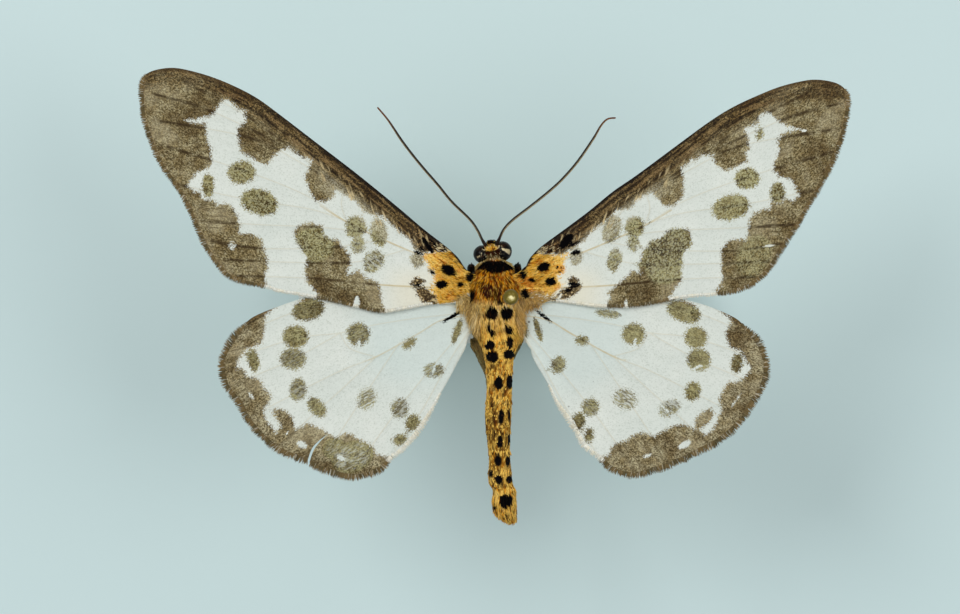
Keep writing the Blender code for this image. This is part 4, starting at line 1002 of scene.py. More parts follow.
class WingFinish(Finish):
    """Scales in white, brown, black and orange, laid out along the wing."""

    def __init__(self, name, wing):
        super().__init__(name)
        self.wing = wing
        self.look = FOREWING_LOOK if wing.fore else HINDWING_LOOK
        self.turn = self.look["lie"] if wing.side > 0 else 180 - self.look["lie"]
        self.along = self.lie(self.turn, 1.5)
        self.cell = self.cells(0.065, at=self.along)
        self.grain = self.noise(0.085, 2.0, self.along)
        self.cloud = self.noise(0.9, 3.0)
        self.depth, self.faded, self.black = (self.read(value) for value in ("depth", "faded", "black"))
        self.vein, self.front = self.read("vein"), self.read("front")
        self.edge, self.reach = self.read("edge"), self.read("reach")
        self.ragged = self.total(
            self.span(self.grain, 0.2, 0.8, -0.18, 0.18), self.span(self.cell, 0, 1, -0.10, 0.10),
        )
        self.cell_line = self.product(
            self.span(self.read("cell"), 0.03, 0.11, 1.0, 0.0), self.span(self.cloud, 0.3, 0.6, 0.5, 1.0),
        )

    def brown_share(self):
        """Where brown scales lie. Faded marks let the white show between them."""
        if self.wing.fore:
            torn = self.span(self.noise(0.5, 4.0), 0.3, 0.7, -0.9, 0.6)
        else:
            torn = self.span(self.grain, 0.3, 0.7, -0.2, 0.2)
        torn = self.product(torn, self.span(self.faded, 0.45, 0.8, 0.1, 1.0))
        brown = self.span(self.total(self.depth, torn, self.ragged), -0.11, 0.12)
        combed = self.noise(0.12, 3.0, self.lie(self.turn, 4.0))
        gone = self.product(self.span(combed, 0.48, 0.60), self.span(self.faded, 0.1, 0.6), 0.75)
        thin = self.product(self.faded, self.faded, 0.35)
        return self.product(brown, self.calc("SUBTRACT", 1.0, gone), self.calc("SUBTRACT", 1.0, thin))

    def white_ground(self):
        """White scales, warmer near the body, with tan veins, dark dust and painted shade near the
        hindwing's root.
        """
        white = self.blend(self.noise(4.0, 2.0), paint(210, 217, 208), paint(232, 234, 224))
        white = self.times(white, self.span(self.cell, 0.55, 1.0), paint(232, 234, 230))
        white = self.blend(self.product(self.read("cream"), 0.75), white, paint(232, 226, 203))
        # Painted shade: a cool grey laid over the hindwing near its root
        white = self.blend(self.product(self.read("painted_root_shade"), 0.6), white, paint(206, 219, 213))
        vein_line = self.span(self.vein, 0.02, 0.09, 1.0, 0.0)
        white = self.blend(self.product(vein_line, 0.35), white, paint(212, 204, 176))
        strength = 0.3 if self.wing.name == "hindwing_left" else 0.6
        white = self.blend(self.product(self.cell_line, strength), white, paint(200, 178, 124))
        dust = self.span(self.cells(0.42), 0.955, 0.965)
        speck = self.span(self.cells(0.42, "Distance"), 0.16, 0.30, 0.8, 0.0)
        return self.blend(self.product(dust, speck), white, paint(70, 64, 52))

    def brown_scales(self):
        """Brown scales in a fine grain of darker and paler ones."""
        dark, light = paint(*self.look["dark"]), paint(*self.look["light"])
        umber = self.blend(self.span(self.cell, 0.1, 0.9), dark, light)
        pale_grain = self.span(self.noise(0.08, 1.0, self.along), 0.60, 0.76)
        umber = self.blend(self.product(pale_grain, self.look["pale_grain"]), umber, paint(208, 196, 154))
        speck = self.noise(0.11, 1.0, self.along)
        umber = self.blend(self.span(speck, 0.36, 0.47, 0.5, 0.0), umber, paint(66, 56, 34))
        umber = self.blend(self.span(speck, 0.54, 0.64, 0.0, 0.45), umber, paint(214, 206, 170))
        umber = self.times(umber, self.span(self.cloud, 0.35, 0.65), paint(218, 208, 190))
        drift = self.noise(2.2, 2.0, self.along)
        umber = self.times(umber, self.span(drift, 0.50, 0.66), paint(196, 186, 172))
        umber = self.blend(self.span(drift, 0.34, 0.50, 0.28, 0.0), umber, paint(188, 176, 142))
        if self.wing.fore:
            near_root = self.span(self.reach, 0.21, 0.28, 1.0, 0.0)
            umber = self.blend(self.product(near_root, 0.6), umber, paint(108, 82, 46))
            specks = self.noise(0.15, 3.0)
            dark = self.product(near_root, self.span(specks, 0.46, 0.56, 0.0, 0.9))
            umber = self.blend(dark, umber, paint(46, 32, 16))
            pale = self.product(near_root, self.span(specks, 0.36, 0.44, 0.85, 0.0))
            umber = self.blend(pale, umber, paint(218, 190, 136))
        return umber

    def vein_lines(self, umber):
        """Fine dark lines on and beside the veins, and olive faded marks."""
        beside = self.sheet_place(self.product(self.vein, 5.0), self.product(self.reach, 18.0))
        lines = self.span(self.noise(1.0, 3.0, beside), 0.50, 0.68, 0.0, 0.5)
        umber = self.blend(lines, umber, paint(74, 58, 30))
        on_vein = self.span(self.vein, 0.03, 0.19, 1.0, 0.0)
        dark = self.product(on_vein, self.span(self.cloud, 0.38, 0.56, 0.1, 1.0), self.look["dark_vein"])
        umber = self.blend(dark, umber, paint(50, 36, 16))
        umber = self.blend(self.product(self.cell_line, 0.55), umber, paint(64, 46, 20))
        olive = self.span(self.faded, 0.0, 0.12)
        umber = self.times(umber, olive, paint(*self.look["olive"]))
        fleck = self.span(self.cells(0.11), 0.52, 0.60, 0.0, self.look["olive_fleck"])
        return self.blend(self.product(olive, fleck), umber, paint(196, 192, 148))

    def front_streaks(self, umber):
        """Dark and tan streaks that follow the front edge."""
        streak = self.noise(1 / 4.2, 3.0, self.sheet_place(self.front, self.product(self.reach, 2.4)))
        band = self.product(
            self.span(self.front, *self.look["front_band"], 1.0, 0.0),
            self.span(self.reach, 0.72, 0.85, 1.0, 0.6),
        )
        shadow = self.blend(self.span(self.cell, 0.1, 0.9), paint(118, 108, 90), paint(216, 196, 168))
        umber = self.times(umber, band, shadow)
        tan = self.product(self.span(streak, 0.53, 0.62), band, self.span(self.grain, 0.35, 0.6, 0.1, 0.6))
        umber = self.blend(tan, umber, paint(154, 126, 84))
        dark = self.product(
            self.span(streak, 0.40, 0.50, 1.0, 0.0), band, self.span(self.grain, 0.4, 0.7, 0.9, 0.4),
            self.span(self.reach, 0.15, 0.26, 0.45, 1.0),
        )
        return self.blend(dark, umber, paint(34, 23, 10))

    def root_bars(self, umber):
        """Grey haze and tan bars across the forewing's front edge, near the body."""
        slanted = self.total(self.reach, self.product(self.front, 0.018))
        across = self.sheet_place(self.product(self.front, 0.6), self.product(slanted, 46.0))
        inner = self.product(self.span(self.front, 0.9, 1.2), self.span(self.front, 1.9, 2.5, 1.0, 0.0))
        behind = self.product(
            self.span(self.reach, 0.17, 0.24, 1.0, 0.0), self.span(self.front, 2.0, 2.4, 1.0, 0.0),
        )
        haze = self.product(
            self.span(self.front, 1.25, 1.9), self.span(self.front, 2.6, 3.2, 1.0, 0.0),
            self.span(self.reach, 0.42, 0.52, 0.65, 0.0),
        )
        grey = self.blend(self.span(self.grain, 0.42, 0.58), paint(112, 100, 70), paint(206, 200, 172))
        umber = self.blend(haze, umber, grey)
        bars = self.product(
            self.span(self.noise(1 / 1.4, 2.0, across), 0.52, 0.64), self.calc("MAXIMUM", inner, behind),
            self.span(self.reach, 0.42, 0.60, 0.9, 0.0), self.span(self.grain, 0.3, 0.5, 0.3, 1.0),
        )
        return self.blend(bars, umber, paint(208, 186, 138))

    def brown_marks(self):
        """The brown scales with all that darkens or lightens them."""
        umber = self.front_streaks(self.vein_lines(self.brown_scales()))
        if self.wing.fore:
            umber = self.root_bars(umber)
        rim = self.span(self.edge, 0.0, 0.45, 1.0, 0.0)
        rim = self.product(rim, self.span(self.reach, 0.62, 0.74) if self.wing.fore else 0.6, self.grain)
        return self.blend(rim, umber, paint(*self.look["rim"]))

    def amber_base(self, tone):
        """The orange scales near the body, laid over the rest."""
        amber = self.blend(self.span(self.grain, 0.3, 0.7), paint(224, 164, 50), paint(246, 210, 116))
        amber = self.blend(self.span(self.cloud, 0.5, 0.7, 0.0, 0.55), amber, paint(218, 126, 24))
        amber = self.blend(self.product(self.span(self.cell, 0.7, 0.9), 0.7), amber, paint(120, 68, 18))
        warm = self.span(self.total(self.read("warm"), self.ragged), -0.12, 0.12)
        return self.blend(warm, tone, amber)

    def pattern(self):
        """The whole surface, with its black spots and dark front line."""
        brown = self.brown_share()
        tone = self.amber_base(self.blend(brown, self.white_ground(), self.brown_marks()))
        frayed = self.product(self.ragged, 0.6)
        sooty = self.span(self.total(self.black, frayed), -0.08, 0.0)
        tone = self.blend(sooty, tone, paint(7, 6, 7))
        if self.wing.fore:
            line = self.span(self.total(self.front, frayed), 0.14, 0.34, 1.0, 0.0)
            line = self.product(line, self.span(self.reach, 0.40, 0.75, 1.0, 0.5))
            tone = self.blend(line, tone, paint(24, 17, 10))
        bumps = self.total(self.product(self.cell, 0.5), self.product(self.grain, 0.8))
        return self.shade(
            Base_Color=tone, Roughness=self.span(brown, 0.0, 1.0, 0.62, 0.78),
            Specular_IOR_Level=self.span(sooty, 0.0, 1.0, 0.16, 0.02), Normal=self.relief(bumps, 0.04),
        )


def wing_map(wing, spots, under):
    """Where places on a wing lie in its map, the underside in its own half."""
    u = (np.abs(spots[:, 0]) - 1.0) / WING_REACH * 0.47 + 0.015 + 0.5 * under
    v = (spots[:, 1] + 16.0) / 36 * 0.55 + 0.02
    return np.column_stack([u, v])


def sideways(line):
    """Directions of length one across a line."""
    run = np.gradient(line, axis=0)
    return unit(np.column_stack([-run[:, 1], run[:, 0]]))


def vein_edges(wing):
    """Three lines along each vein inside the wing: its crest and its feet."""
    lines = []
    for vein in wing.veins:
        across = sideways(vein)
        for shift in (-VEIN_HALF, 0.0, VEIN_HALF):
            line = vein + across * shift
            lines.append(line[inside(line, wing.rim, 0.12)])
    return lines


def tear_slit():
    """Outline of the tear, which opens towards the rim."""
    tear = curve(TEAR, 0.2)
    across = sideways(tear)
    width = TEAR_HALF * ease(np.linspace(0, 1, len(tear)), -0.1, 0.5)[:, None]
    return np.vstack([tear + across * width, (tear - across * width)[::-1]])


def sheet_grid(wing):
    """Places spread evenly over a wing, clear of its rim and its veins."""
    low, high = wing.rim.min(0), wing.rim.max(0)
    column = np.arange(low[0], high[0], SHEET_STEP)
    rows = np.arange(low[1], high[1], SHEET_STEP * 0.866)
    grid = np.array([(x + SHEET_STEP / 2 * (k % 2), y) for k, y in enumerate(rows) for x in column])
    grid = grid[inside(grid, wing.rim, SHEET_STEP * 0.55)]
    return grid[wing.vein_gap(grid) > VEIN_HALF + SHEET_STEP * 0.5]


def sheet(wing, slit):
    """Flat places and triangles of a wing, cut open where it has a slit."""
    grid = sheet_grid(wing)
    spots, edges = list(wing.rim), []
    for line in vein_edges(wing):
        edges += [(k, k + 1) for k in range(len(spots), len(spots) + len(line) - 1)]
        spots += list(line)
    if slit is not None:
        grid = grid[~inside(grid, slit, -0.08)]
        first = len(spots)
        edges += [(first + k, first + (k + 1) % len(slit)) for k in range(len(slit))]
        spots += list(slit)
    spots = [Vector(spot) for spot in (*spots, *grid)]
    loop = list(range(len(wing.rim)))
    flat, _, triangles, _, _, _ = delaunay_2d_cdt(spots, edges, [loop], 1, 0.004)
    flat = np.array([list(spot) for spot in flat])
    if slit is not None:
        torn = inside(flat[np.array(triangles)].mean(axis=1), slit, 0.0)
        triangles = [face for face, gone in zip(triangles, torn) if not gone]
    return flat, triangles


def membrane_faces(triangles, count):
    """Faces of both sides of a sheet and of the rim between them."""
    faces = [tuple(face) for face in triangles]
    faces += [tuple(k + count for k in reversed(face)) for face in triangles]
    sides = {(face[k], face[(k + 1) % 3]) for face in triangles for k in range(3)}
    faces += [(end, start, start + count, end + count) for start, end in sides if (end, start) not in sides]
    return faces


wings = {name: Wing(name) for name in OUTLINES}
for name, wing in wings.items():
    flat, triangles = sheet(wing, tear_slit() if name == "hindwing_left" else None)
    gap = wing.vein_gap(flat)
    ridge = VEIN_RISE * np.clip(1 - gap / VEIN_HALF, 0, 1)
    middle = wing.level(flat, gap)
    rim = ease(distance(flat, np.vstack([wing.rim, wing.rim[:1]])), 0.0, 0.4)
    half = MEMBRANE / 2 * (0.35 + 0.65 * rim) + ridge
    places = np.vstack([np.column_stack([flat, middle + half]), np.column_stack([flat, middle - half])])
    piece = add_piece(
        name.replace("wing", "wing_membrane"), at_height(places), membrane_faces(triangles, len(flat)),
        WingFinish(name + "_scales", wing).pattern(), [name],
    )
    for value, numbers in wing.values(flat).items():
        layer = piece.data.attributes.new(value, "FLOAT", "POINT")
        layer.data.foreach_set("value", np.tile(numbers, 2).astype(np.float32))
    add_map(piece, np.vstack([wing_map(wing, flat, 0), wing_map(wing, flat, 1)]))


# Wing fringes
# Rows of long, narrow scales socketed in the rim of each wing, two deep,
# so thin that they part and fray where the specimen has been handled.
FRINGE_STEP = 0.048
FRINGE_TONES = light_tones({
    "brown": (122, 110, 78), "dark": (74, 64, 42), "ginger": (132, 108, 70), "white": (246, 247, 238),
    "cream": (246, 241, 220),
})
# How a tuft swells along its length and droops, and how far painted shade darkens its root and painted
# light brightens its tip
FRINGE_FORM = {
    "shares": (0.0, 0.45, 0.8), "swells": (0.8, 1.0, 0.6), "droop": 0.04, "thin": 0.22,
    "root": 0.9, "tip": 1.25,
}
TUFT_PATCH = 0.003


def upright(count):
    """The upward direction, once for each tuft."""
    return np.tile([0.0, 0.0, 1.0], (count, 1))


def tuft_mesh(
    name, roots, aims, ups, lengths, widths, tints, spots, material, slot,
    shares, swells, droop=0.0, thin=0.3, root=0.62, tip=1.12,
):
    """Closed, tapered hairs or scales, three points to each of their rings."""
    across = unit(np.cross(aims, ups))
    normal = unit(np.cross(across, aims))
    lengths, widths = lengths[:, None], widths[:, None]
    places, colours, patches = [], [], []
    for share, swell in (*zip(shares, swells), (1.0, 0.0)):
        middle = roots + aims * lengths * share - ups * lengths * droop * share ** 2
        for side, lift in ((0.5, 0), (-0.5, 0), (0, thin)) if swell else ((0, 0),):
            places.append(middle + (across * side + normal * lift) * widths * swell)
            # Painted shade and light: each tuft darkens towards its root and brightens towards its tip, for
            # the shade that the tufts cast on one another
            colours.append(tints * (root + (tip - root) * share))
            patches.append(spots + np.array([side, share - 0.5]) * TUFT_PATCH)
    size = len(places)
    quads, corners = [], [(0, 2, 1)]
    for ring in range(len(shares) - 1):
        for one, two in ((0, 2), (2, 1), (1, 0)):
            quads.append((ring * 3 + one, ring * 3 + 3 + one, ring * 3 + 3 + two, ring * 3 + two))
    last = size - 4
    corners += [(last + one, size - 1, last + two) for one, two in ((0, 2), (2, 1), (1, 0))]
    first = np.arange(len(roots))[:, None, None] * size
    faces = (first + np.array(quads)).reshape(-1, 4).tolist()
    faces += (first + np.array(corners)).reshape(-1, 3).tolist()
    piece = add_piece(name, at_height(np.stack(places, 1).reshape(-1, 3)), faces, material)
    colours = np.stack(colours, 1).reshape(-1, 3)
    add_tint(piece, colours / np.maximum(1, colours.max(1, keepdims=True)))
    add_map(piece, np.stack(patches, 1).reshape(-1, 2))


def coat_finish(name, roughness):
    """Hair or scales in the colour that each tuft carries."""
    made = Finish(name)
    fleck = made.noise(0.08, 2.0)
    worn = made.span(fleck, 0.3, 0.75, 0.0, 0.5)
    tone = made.times(made.read("tint", "Color"), worn, paint(208, 196, 174))
    return made.shade(Base_Color=tone, Roughness=roughness, Specular_IOR_Level=0.05)


def wing_tint(wing, spots, grain):
    """Fringe colours that carry on from the wing's own marks."""
    depth = np.max([patch(spots, ring) for ring in BANDS[wing.name]], axis=0)
    for gap in GAPS[wing.name]:
        depth = np.minimum(depth, -2 * oval(spots, *gap))
    brown = ease(depth + 0.5 * (grain - 0.5), -0.1, 0.1)
    dark = mixed(FRINGE_TONES["ginger"], FRINGE_TONES["dark"], ease(grain, 0.35, 0.75))
    dark = mixed(dark, FRINGE_TONES["brown"], np.full(len(grain), 0.45))
    stray = mottle(np.column_stack([spots / 0.05, grain * 3]), 1.0, 57)
    dark = mixed(dark, FRINGE_TONES["cream"], 0.4 * ease(stray, 0.70, 0.82))
    pale = mixed(FRINGE_TONES["white"], FRINGE_TONES["cream"], grain)
    return mixed(pale, dark, brown)


def at_stops(stops, rows):
    """What lies at stops between the rows of a table."""
    return np.column_stack([np.interp(stops, np.arange(len(rows)), column) for column in rows.T])


fringe_finish = coat_finish("fringe_scales", 0.7)
for name, wing in wings.items():
    draw = np.random.default_rng(len(name) + wing.side)
    stops = np.arange(0, len(wing.outline) - 1, FRINGE_STEP / RIM_STEP)
    stops = np.repeat(stops, 2) + draw.uniform(-0.12, 0.12, 2 * len(stops))
    layer = np.tile([0, 1], len(stops) // 2)
    rim, outward = at_stops(stops, wing.rim), unit(at_stops(stops, wing.outward))
    reach = at_stops(stops, wing.fringe[:, None])[:, 0]
    keep = reach > 0.1
    if name == "hindwing_left":
        keep &= distance(rim, np.array(TEAR)) > TEAR_HALF + 0.02
    rim, outward, reach, layer, stops = (part[keep] for part in (rim, outward, reach, layer, stops))
    clump = mottle(np.column_stack([stops * 0.35, 0 * stops, 0 * stops]), 1.0, 7)
    slant = 0.5 * (clump - 0.5) + draw.normal(0, 0.10, len(reach))
    ahead = np.column_stack([outward[:, 1], -outward[:, 0]])
    aim = unit(outward + ahead * slant[:, None])
    spot = rim - outward * 0.2
    lengths = (reach * (0.86 + 0.34 * clump) + 0.2) * draw.uniform(0.88, 1.08, len(reach))
    lengths = lengths * np.where(layer, 1.0, 0.74)
    level = wing.level(rim) + np.where(layer, -0.02, 0.035)
    grain = mottle(np.column_stack([stops * 0.6, layer, 0 * stops]), 1.0, 9)
    grain = np.clip(grain + draw.normal(0, 0.12, len(reach)), 0, 1)
    tints = wing_tint(wing, rim - outward * 0.35, grain) * draw.uniform(0.85, 1.2, (len(reach), 1))
    tuft_mesh(
        name.replace("wing", "wing_fringe"), np.column_stack([spot, level]),
        np.column_stack([aim, np.where(layer, -0.02, 0.05)]), upright(len(reach)), lengths,
        draw.uniform(0.05, 0.085, len(reach)), tints, wing_map(wing, spot, 0), fringe_finish, "wing",
        **FRINGE_FORM,
    )


# Eyes
# Two compound eyes, stiff domes of tiny lenses set in the sides of the
# head, dried nearly black and still glossy.
HEAD_MIDDLE = np.array((-0.17, 3.8, -0.1))
HEAD_TURN = math.radians(6.5)
EYE_RADII = {"left": (0.78, 0.76, 0.81), "right": (0.80, 0.84, 0.81)}
EYE_OUT = 0.85
EYE_LENS = 0.035
EYE_ROWS = 60
EYE_POLE = 0.995
# Pale scales lie in a patch on the right eye and in a streak on the left one
EYE_PATCH = [
    (0.58, 4.14), (0.95, 4.04), (1.30, 4.02), (1.34, 3.78), (1.28, 3.56), (1.10, 3.66), (0.90, 3.84),
    (0.66, 3.92),
]
EYE_STREAK = [(-1.46, 3.30), (-1.20, 3.52), (-0.96, 3.86)]

eye_glaze = Finish("eye_lenses")
eye_cells = eye_glaze.cells(EYE_LENS, "Distance")
eye_cloud = eye_glaze.noise(0.25, 3.0)
eye_glaze.shade(
    Base_Color=eye_glaze.times(eye_glaze.read("tint", "Color"), eye_cloud, paint(150, 140, 130)),
    Roughness=eye_glaze.span(eye_cloud, 0.35, 0.65, 0.16, 0.34), Specular_IOR_Level=0.12,
    Normal=eye_glaze.relief(eye_cells, 0.002),
)


def on_head(x, y, z):
    """A place on the turned head as a place on the moth."""
    cos, sin = math.cos(HEAD_TURN), math.sin(HEAD_TURN)
    return HEAD_MIDDLE + (x * cos - y * sin, x * sin + y * cos, z)


def eye_dome(label, middle):
    """A closed egg for one eye, its pole up."""
    places = []
    for row in range(EYE_ROWS + 1):
        tilt = math.pi * (row / EYE_ROWS - 0.5) * EYE_POLE
        for side in range(EYE_ROWS):
            turn = 2 * math.pi * side / EYE_ROWS
            spot = (math.cos(tilt) * math.cos(turn), math.cos(tilt) * math.sin(turn), math.sin(tilt))
            places.append(middle + np.array(spot) * EYE_RADII[label])
    return add_piece(
        "eye_dome_" + label, at_height(places), ring_faces(EYE_ROWS + 1, EYE_ROWS), eye_glaze.material,
        ["eye_" + label],
    )


def stray_scales(places, middle, side):
    """Where pale scales have fallen on the upper half of an eye."""
    x = places[:, 0]
    speck = mottle(places, 0.10, 61)
    strewn = ease(speck, 0.70, 0.82) * ease(1.0 - np.abs(x - middle[0] + side * 0.4), 0.4, 0.9)
    if side < 0:
        lying = 0.05 - distance(places[:, :2], np.array(EYE_STREAK)) + 0.16 * (speck - 0.5)
        strewn = np.maximum(strewn, 0.6 * ease(lying, -0.03, 0.04) * ease(speck, 0.35, 0.6))
    else:
        lying = patch(places[:, :2], EYE_PATCH) + 0.08 * (speck - 0.5)
        strewn = np.maximum(strewn, ease(lying, -0.03, 0.04) * (1 - 0.35 * ease(x, 0.95, 1.15)))
    return strewn * (places[:, 2] > 0.0)


for side, label in ((-1, "left"), (1, "right")):
    middle = on_head(side * EYE_OUT, -0.05 + 0.03 * side, 0)
    piece = eye_dome(label, middle)
    places = np.array([list(vertex.co) for vertex in piece.data.vertices]) / MM - (0, 0, WING_LEVEL)
    # Painted reflection: brown patches on the black eyes stand for their brown sheen
    tint = mixed(TONES["soot"], TONES["umber"], 0.6 * ease(mottle(places, 0.18, 62), 0.5, 0.8))
    add_tint(piece, mixed(tint, TONES["cream"] * 1.1, 0.95 * stray_scales(places, middle, side)))


# Palps and feelers
# Jointed horny tubes under close scales: two short palps below the face
# and two long feelers, each a thread of some ninety short links.
FEELERS = {
    "left": [
        (-0.55, 4.1, 0.3), (-1.0, 4.75, 0.75), (-1.4, 5.55, 1.0), (-2.06, 6.5, 1.15),
        (-3.6, 8.0, 1.3), (-4.75, 9.4, 1.35), (-6.3, 11.2, 1.35), (-7.7, 13.0, 1.3),
        (-8.9, 14.8, 1.2), (-9.85, 15.95, 1.1),
    ],
    "right": [
        (0.1, 4.2, 0.3), (0.38, 4.85, 0.75), (0.8, 5.7, 1.0), (1.56, 6.5, 1.15),
        (3.0, 7.6, 1.3), (4.5, 8.8, 1.35), (5.7, 9.9, 1.35), (7.0, 11.4, 1.3),
        (8.3, 13.3, 1.2), (8.95, 14.4, 1.15), (9.5, 14.95, 1.1), (10.2, 15.05, 1.1),
    ],
}
FEELER_RADIUS = 0.105
FEELER_STEP = 0.045
FEELER_LINK = 0.18
FEELER_SIDES = 12
PALP_SIDES = 14
PALP_SCALES = 130


def tube(path, radii, sides):
    """Places, outward directions and faces of a closed tube along a path."""
    run = unit(np.gradient(path, axis=0))
    across = unit(np.cross(run, (0.12, 0.2, 1.0)))
    up = np.cross(across, run)
    turn = np.linspace(0, 2 * np.pi, sides, endpoint=False)[None, :, None]
    out = across[:, None] * np.cos(turn) + up[:, None] * np.sin(turn)
    places = path[:, None] + out * np.asarray(radii)[:, None, None]
    # The rings run the other way round here, so each face is turned over
    faces = [face[:1] + face[:0:-1] for face in ring_faces(len(path), sides)]
    return places.reshape(-1, 3), out.reshape(-1, 3), faces


horn_finish = Finish("horn_and_scales")
horn_grain = horn_finish.noise(0.07, 3.0)
horn_tone = horn_finish.times(
    horn_finish.read("tint", "Color"), horn_finish.span(horn_grain, 0.35, 0.7), paint(150, 140, 128),
)
horn_finish.shade(
    Base_Color=horn_tone, Roughness=0.5, Specular_IOR_Level=0.25,
    Normal=horn_finish.relief(horn_grain, 0.03),
)
for label, points in FEELERS.items():
    path = curve(points, FEELER_STEP)
    far = np.arange(len(path)) * FEELER_STEP
    total = far[-1]
    radii = FEELER_RADIUS * (1 - 0.4 * ease(far, total * 0.75, total))
    # Thicker at the root, and each link a little wider at its near end
    radii = radii + 0.045 * (1 - ease(far, 0.5, 1.1)) + 0.016 * (1 - (far / FEELER_LINK) % 1.0)
    radii[0] *= 0.4
    radii[-2:] *= (0.8, 0.35)
    places, out, faces = tube(path, radii, FEELER_SIDES)
    link = np.repeat((far / FEELER_LINK) % 1.0, FEELER_SIDES)
    far = np.repeat(far, FEELER_SIDES)
    facing = out @ unit(np.array((-0.55 if label == "left" else 0.55, -0.65, 0.45)))
    tints = mixed(TONES["umber"], TONES["soot"], 0.6 + 0.4 * ease(link, 0.2, 0.8))
    # Painted highlight: the side of each feeler that faces up, back and outward is drawn in pale sand
    painted_highlight = ease(facing, 0.66, 0.88) * ease(far, 0.8, 2.0) * (1 - 0.4 * link)
    tints = mixed(tints, TONES["sand"], 0.75 * painted_highlight)
    tints = mixed(tints, TONES["rust"], 0.5 * ease(far, total * 0.8, total))
    piece = add_piece(
        "feeler_" + label, at_height(places), faces, horn_finish.material, ["antenna_" + label],
    )
    add_tint(piece, tints)
for side, label in ((-1, "left"), (1, "right")):
    path = curve([
        on_head(side * 0.30, 0.2, -0.75), on_head(side * 0.28, 0.65, -0.97),
        on_head(side * 0.26, 0.92, -1.08),
    ], 0.06)
    share = np.linspace(0, 1, len(path))
    radii = 0.24 * (1 - share ** 4) ** 0.5 * (1 - 0.35 * share) + 0.02
    places, out, faces = tube(path, radii, PALP_SIDES)
    piece = add_piece(
        "palp_horn_" + label, at_height(places), faces, horn_finish.material, ["palp_" + label],
    )
    add_tint(piece, mixed(TONES["umber"], TONES["soot"], np.repeat(share, PALP_SIDES)))
    draw = np.random.default_rng(11 + side)
    pick = draw.choice(len(places), PALP_SCALES, replace=False)
    ring = pick // PALP_SIDES
    aims = unit(unit(np.gradient(path, axis=0))[ring] + 0.35 * out[pick])
    shade = mixed(TONES["soot"], TONES["umber"], draw.uniform(0, 1, len(pick)))
    spots = np.column_stack([share[ring], pick % PALP_SIDES / PALP_SIDES]) * 0.9 + 0.05
    tuft_mesh(
        "palp_scales_" + label, places[pick] - out[pick] * 0.04, aims, out[pick],
        draw.uniform(0.12, 0.2, len(pick)), draw.uniform(0.06, 0.1, len(pick)), shade, spots,
        fringe_finish, "body_fur", (0.0, 0.5), (1.0, 0.9),
    )


# Legs
# Six slender jointed legs, hollow horn under close scales, drawn in and
# dried against the chest and belly, their feet in five short links.
FRONT_LEG = [
    (0.45, 1.5, -1.9), (0.6, 1.0, -3.1), (2.05, 2.75, -1.5), (2.2, 0.7, -2.7),
    (2.0, -0.9, -3.4), (1.6, -2.0, -4.0),
]
MIDDLE_LEG = [
    (0.4, 0.3, -2.2), (0.42, -0.4, -3.2), (2.35, -1.6, -2.6), (1.1, -4.4, -3.5),
    (0.8, -6.2, -3.3), (0.6, -7.6, -3.0),
]
HIND_LEG_LEFT = [
    (0.45, -1.4, -2.0), (0.5, -2.2, -3.0), (1.84, -3.88, -1.75), (0.46, -6.9, -2.05),
    (0.25, -9.0, -2.35), (0.05, -10.8, -2.4),
]
HIND_LEG_RIGHT = [
    (0.45, -1.4, -2.0), (0.5, -2.2, -3.0), (2.5, -3.2, -1.75), (0.95, -6.3, -2.4),
    (0.8, -8.4, -2.5), (0.7, -10.2, -2.5),
]
LEG_JOINT_RADII = (0.27, 0.26, 0.22, 0.19)
LEG_SWELLS = (0.03, 0.05, 0.02)
LEG_SIDES = 14
LEG_STEP = 0.09
FOOT_LINKS = 5
LEG_SCALES = 420
LEG_FORM = {"shares": (0.0, 0.5), "swells": (0.9, 1.0), "droop": 0.05, "thin": 0.2}
# Scales clothe the three long parts and the links, not the spurs and claws
CLAD_PARTS = len(LEG_SWELLS) + FOOT_LINKS


def leg_part(start, end, first, last, belly):
    """One stiff length of leg, its ends drawn in to the joints."""
    length = np.linalg.norm(np.subtract(end, start))
    share = np.linspace(0, 1, max(6, round(length / LEG_STEP)))
    path = np.array(start) + (np.array(end) - start) * share[:, None]
    radii = first + (last - first) * share + belly * np.sin(np.pi * share)
    edge = np.minimum(share, 1 - share) * length
    radii = radii * np.sqrt(np.clip(0.12 + edge / 0.16, 0, 1))
    return path, radii


def leg_parts(stops):
    """The stiff parts of a leg: three long ones, links, spurs and claws."""
    parts = []
    for number, belly in enumerate(LEG_SWELLS):
        parts.append(leg_part(stops[number], stops[number + 1], *LEG_JOINT_RADII[number:number + 2], belly))
    foot = curve(stops[3:], 0.05)
    ends = [round((len(foot) - 1) * (number / FOOT_LINKS)) for number in range(FOOT_LINKS + 1)]
    for number in range(FOOT_LINKS):
        thick = 0.14 - 0.012 * number
        parts.append(leg_part(foot[ends[number]], foot[ends[number + 1]], thick * 0.75, thick, 0.0))
    heel, shin = stops[3], unit(stops[3] - stops[2])
    for spread in (-1, 1):
        spur = heel + unit(shin + 0.45 * spread * np.cross(shin, (0, 0, 1))) * (0.55 + 0.1 * spread)
        parts.append(leg_part(heel, spur, 0.07, 0.015, 0.0))
    toe = unit(foot[-1] - foot[-4])
    for spread in (-1, 1):
        claw = foot[-1] + unit(toe + 0.7 * spread * np.cross(toe, (0, 0, 1)) - (0, 0, 0.5)) * 0.2
        parts.append(leg_part(foot[-1], claw, 0.05, 0.012, 0.0))
    return parts


def leg_tint(label, number, share, places):
    """Colours of one part of a leg, with a pale ring at its far end."""
    speck = mottle(places, 0.22, 5)
    if label.startswith("front"):
        tint = mixed(TONES["soot"], TONES["umber"], ease(speck, 0.4, 0.8) * 0.8)
    else:
        tint = mixed(TONES["olive"] * 1.2, TONES["umber"], ease(speck, 0.55, 0.85) * 0.6)
        tint = mixed(tint, TONES["soot"], 0.9 * (number == 1) * ease(share, 0.75, 0.9))
    ringed = 1 < number < CLAD_PARTS
    return mixed(tint, TONES["sand"], 0.8 * ringed * ease(share, 0.80, 0.92))


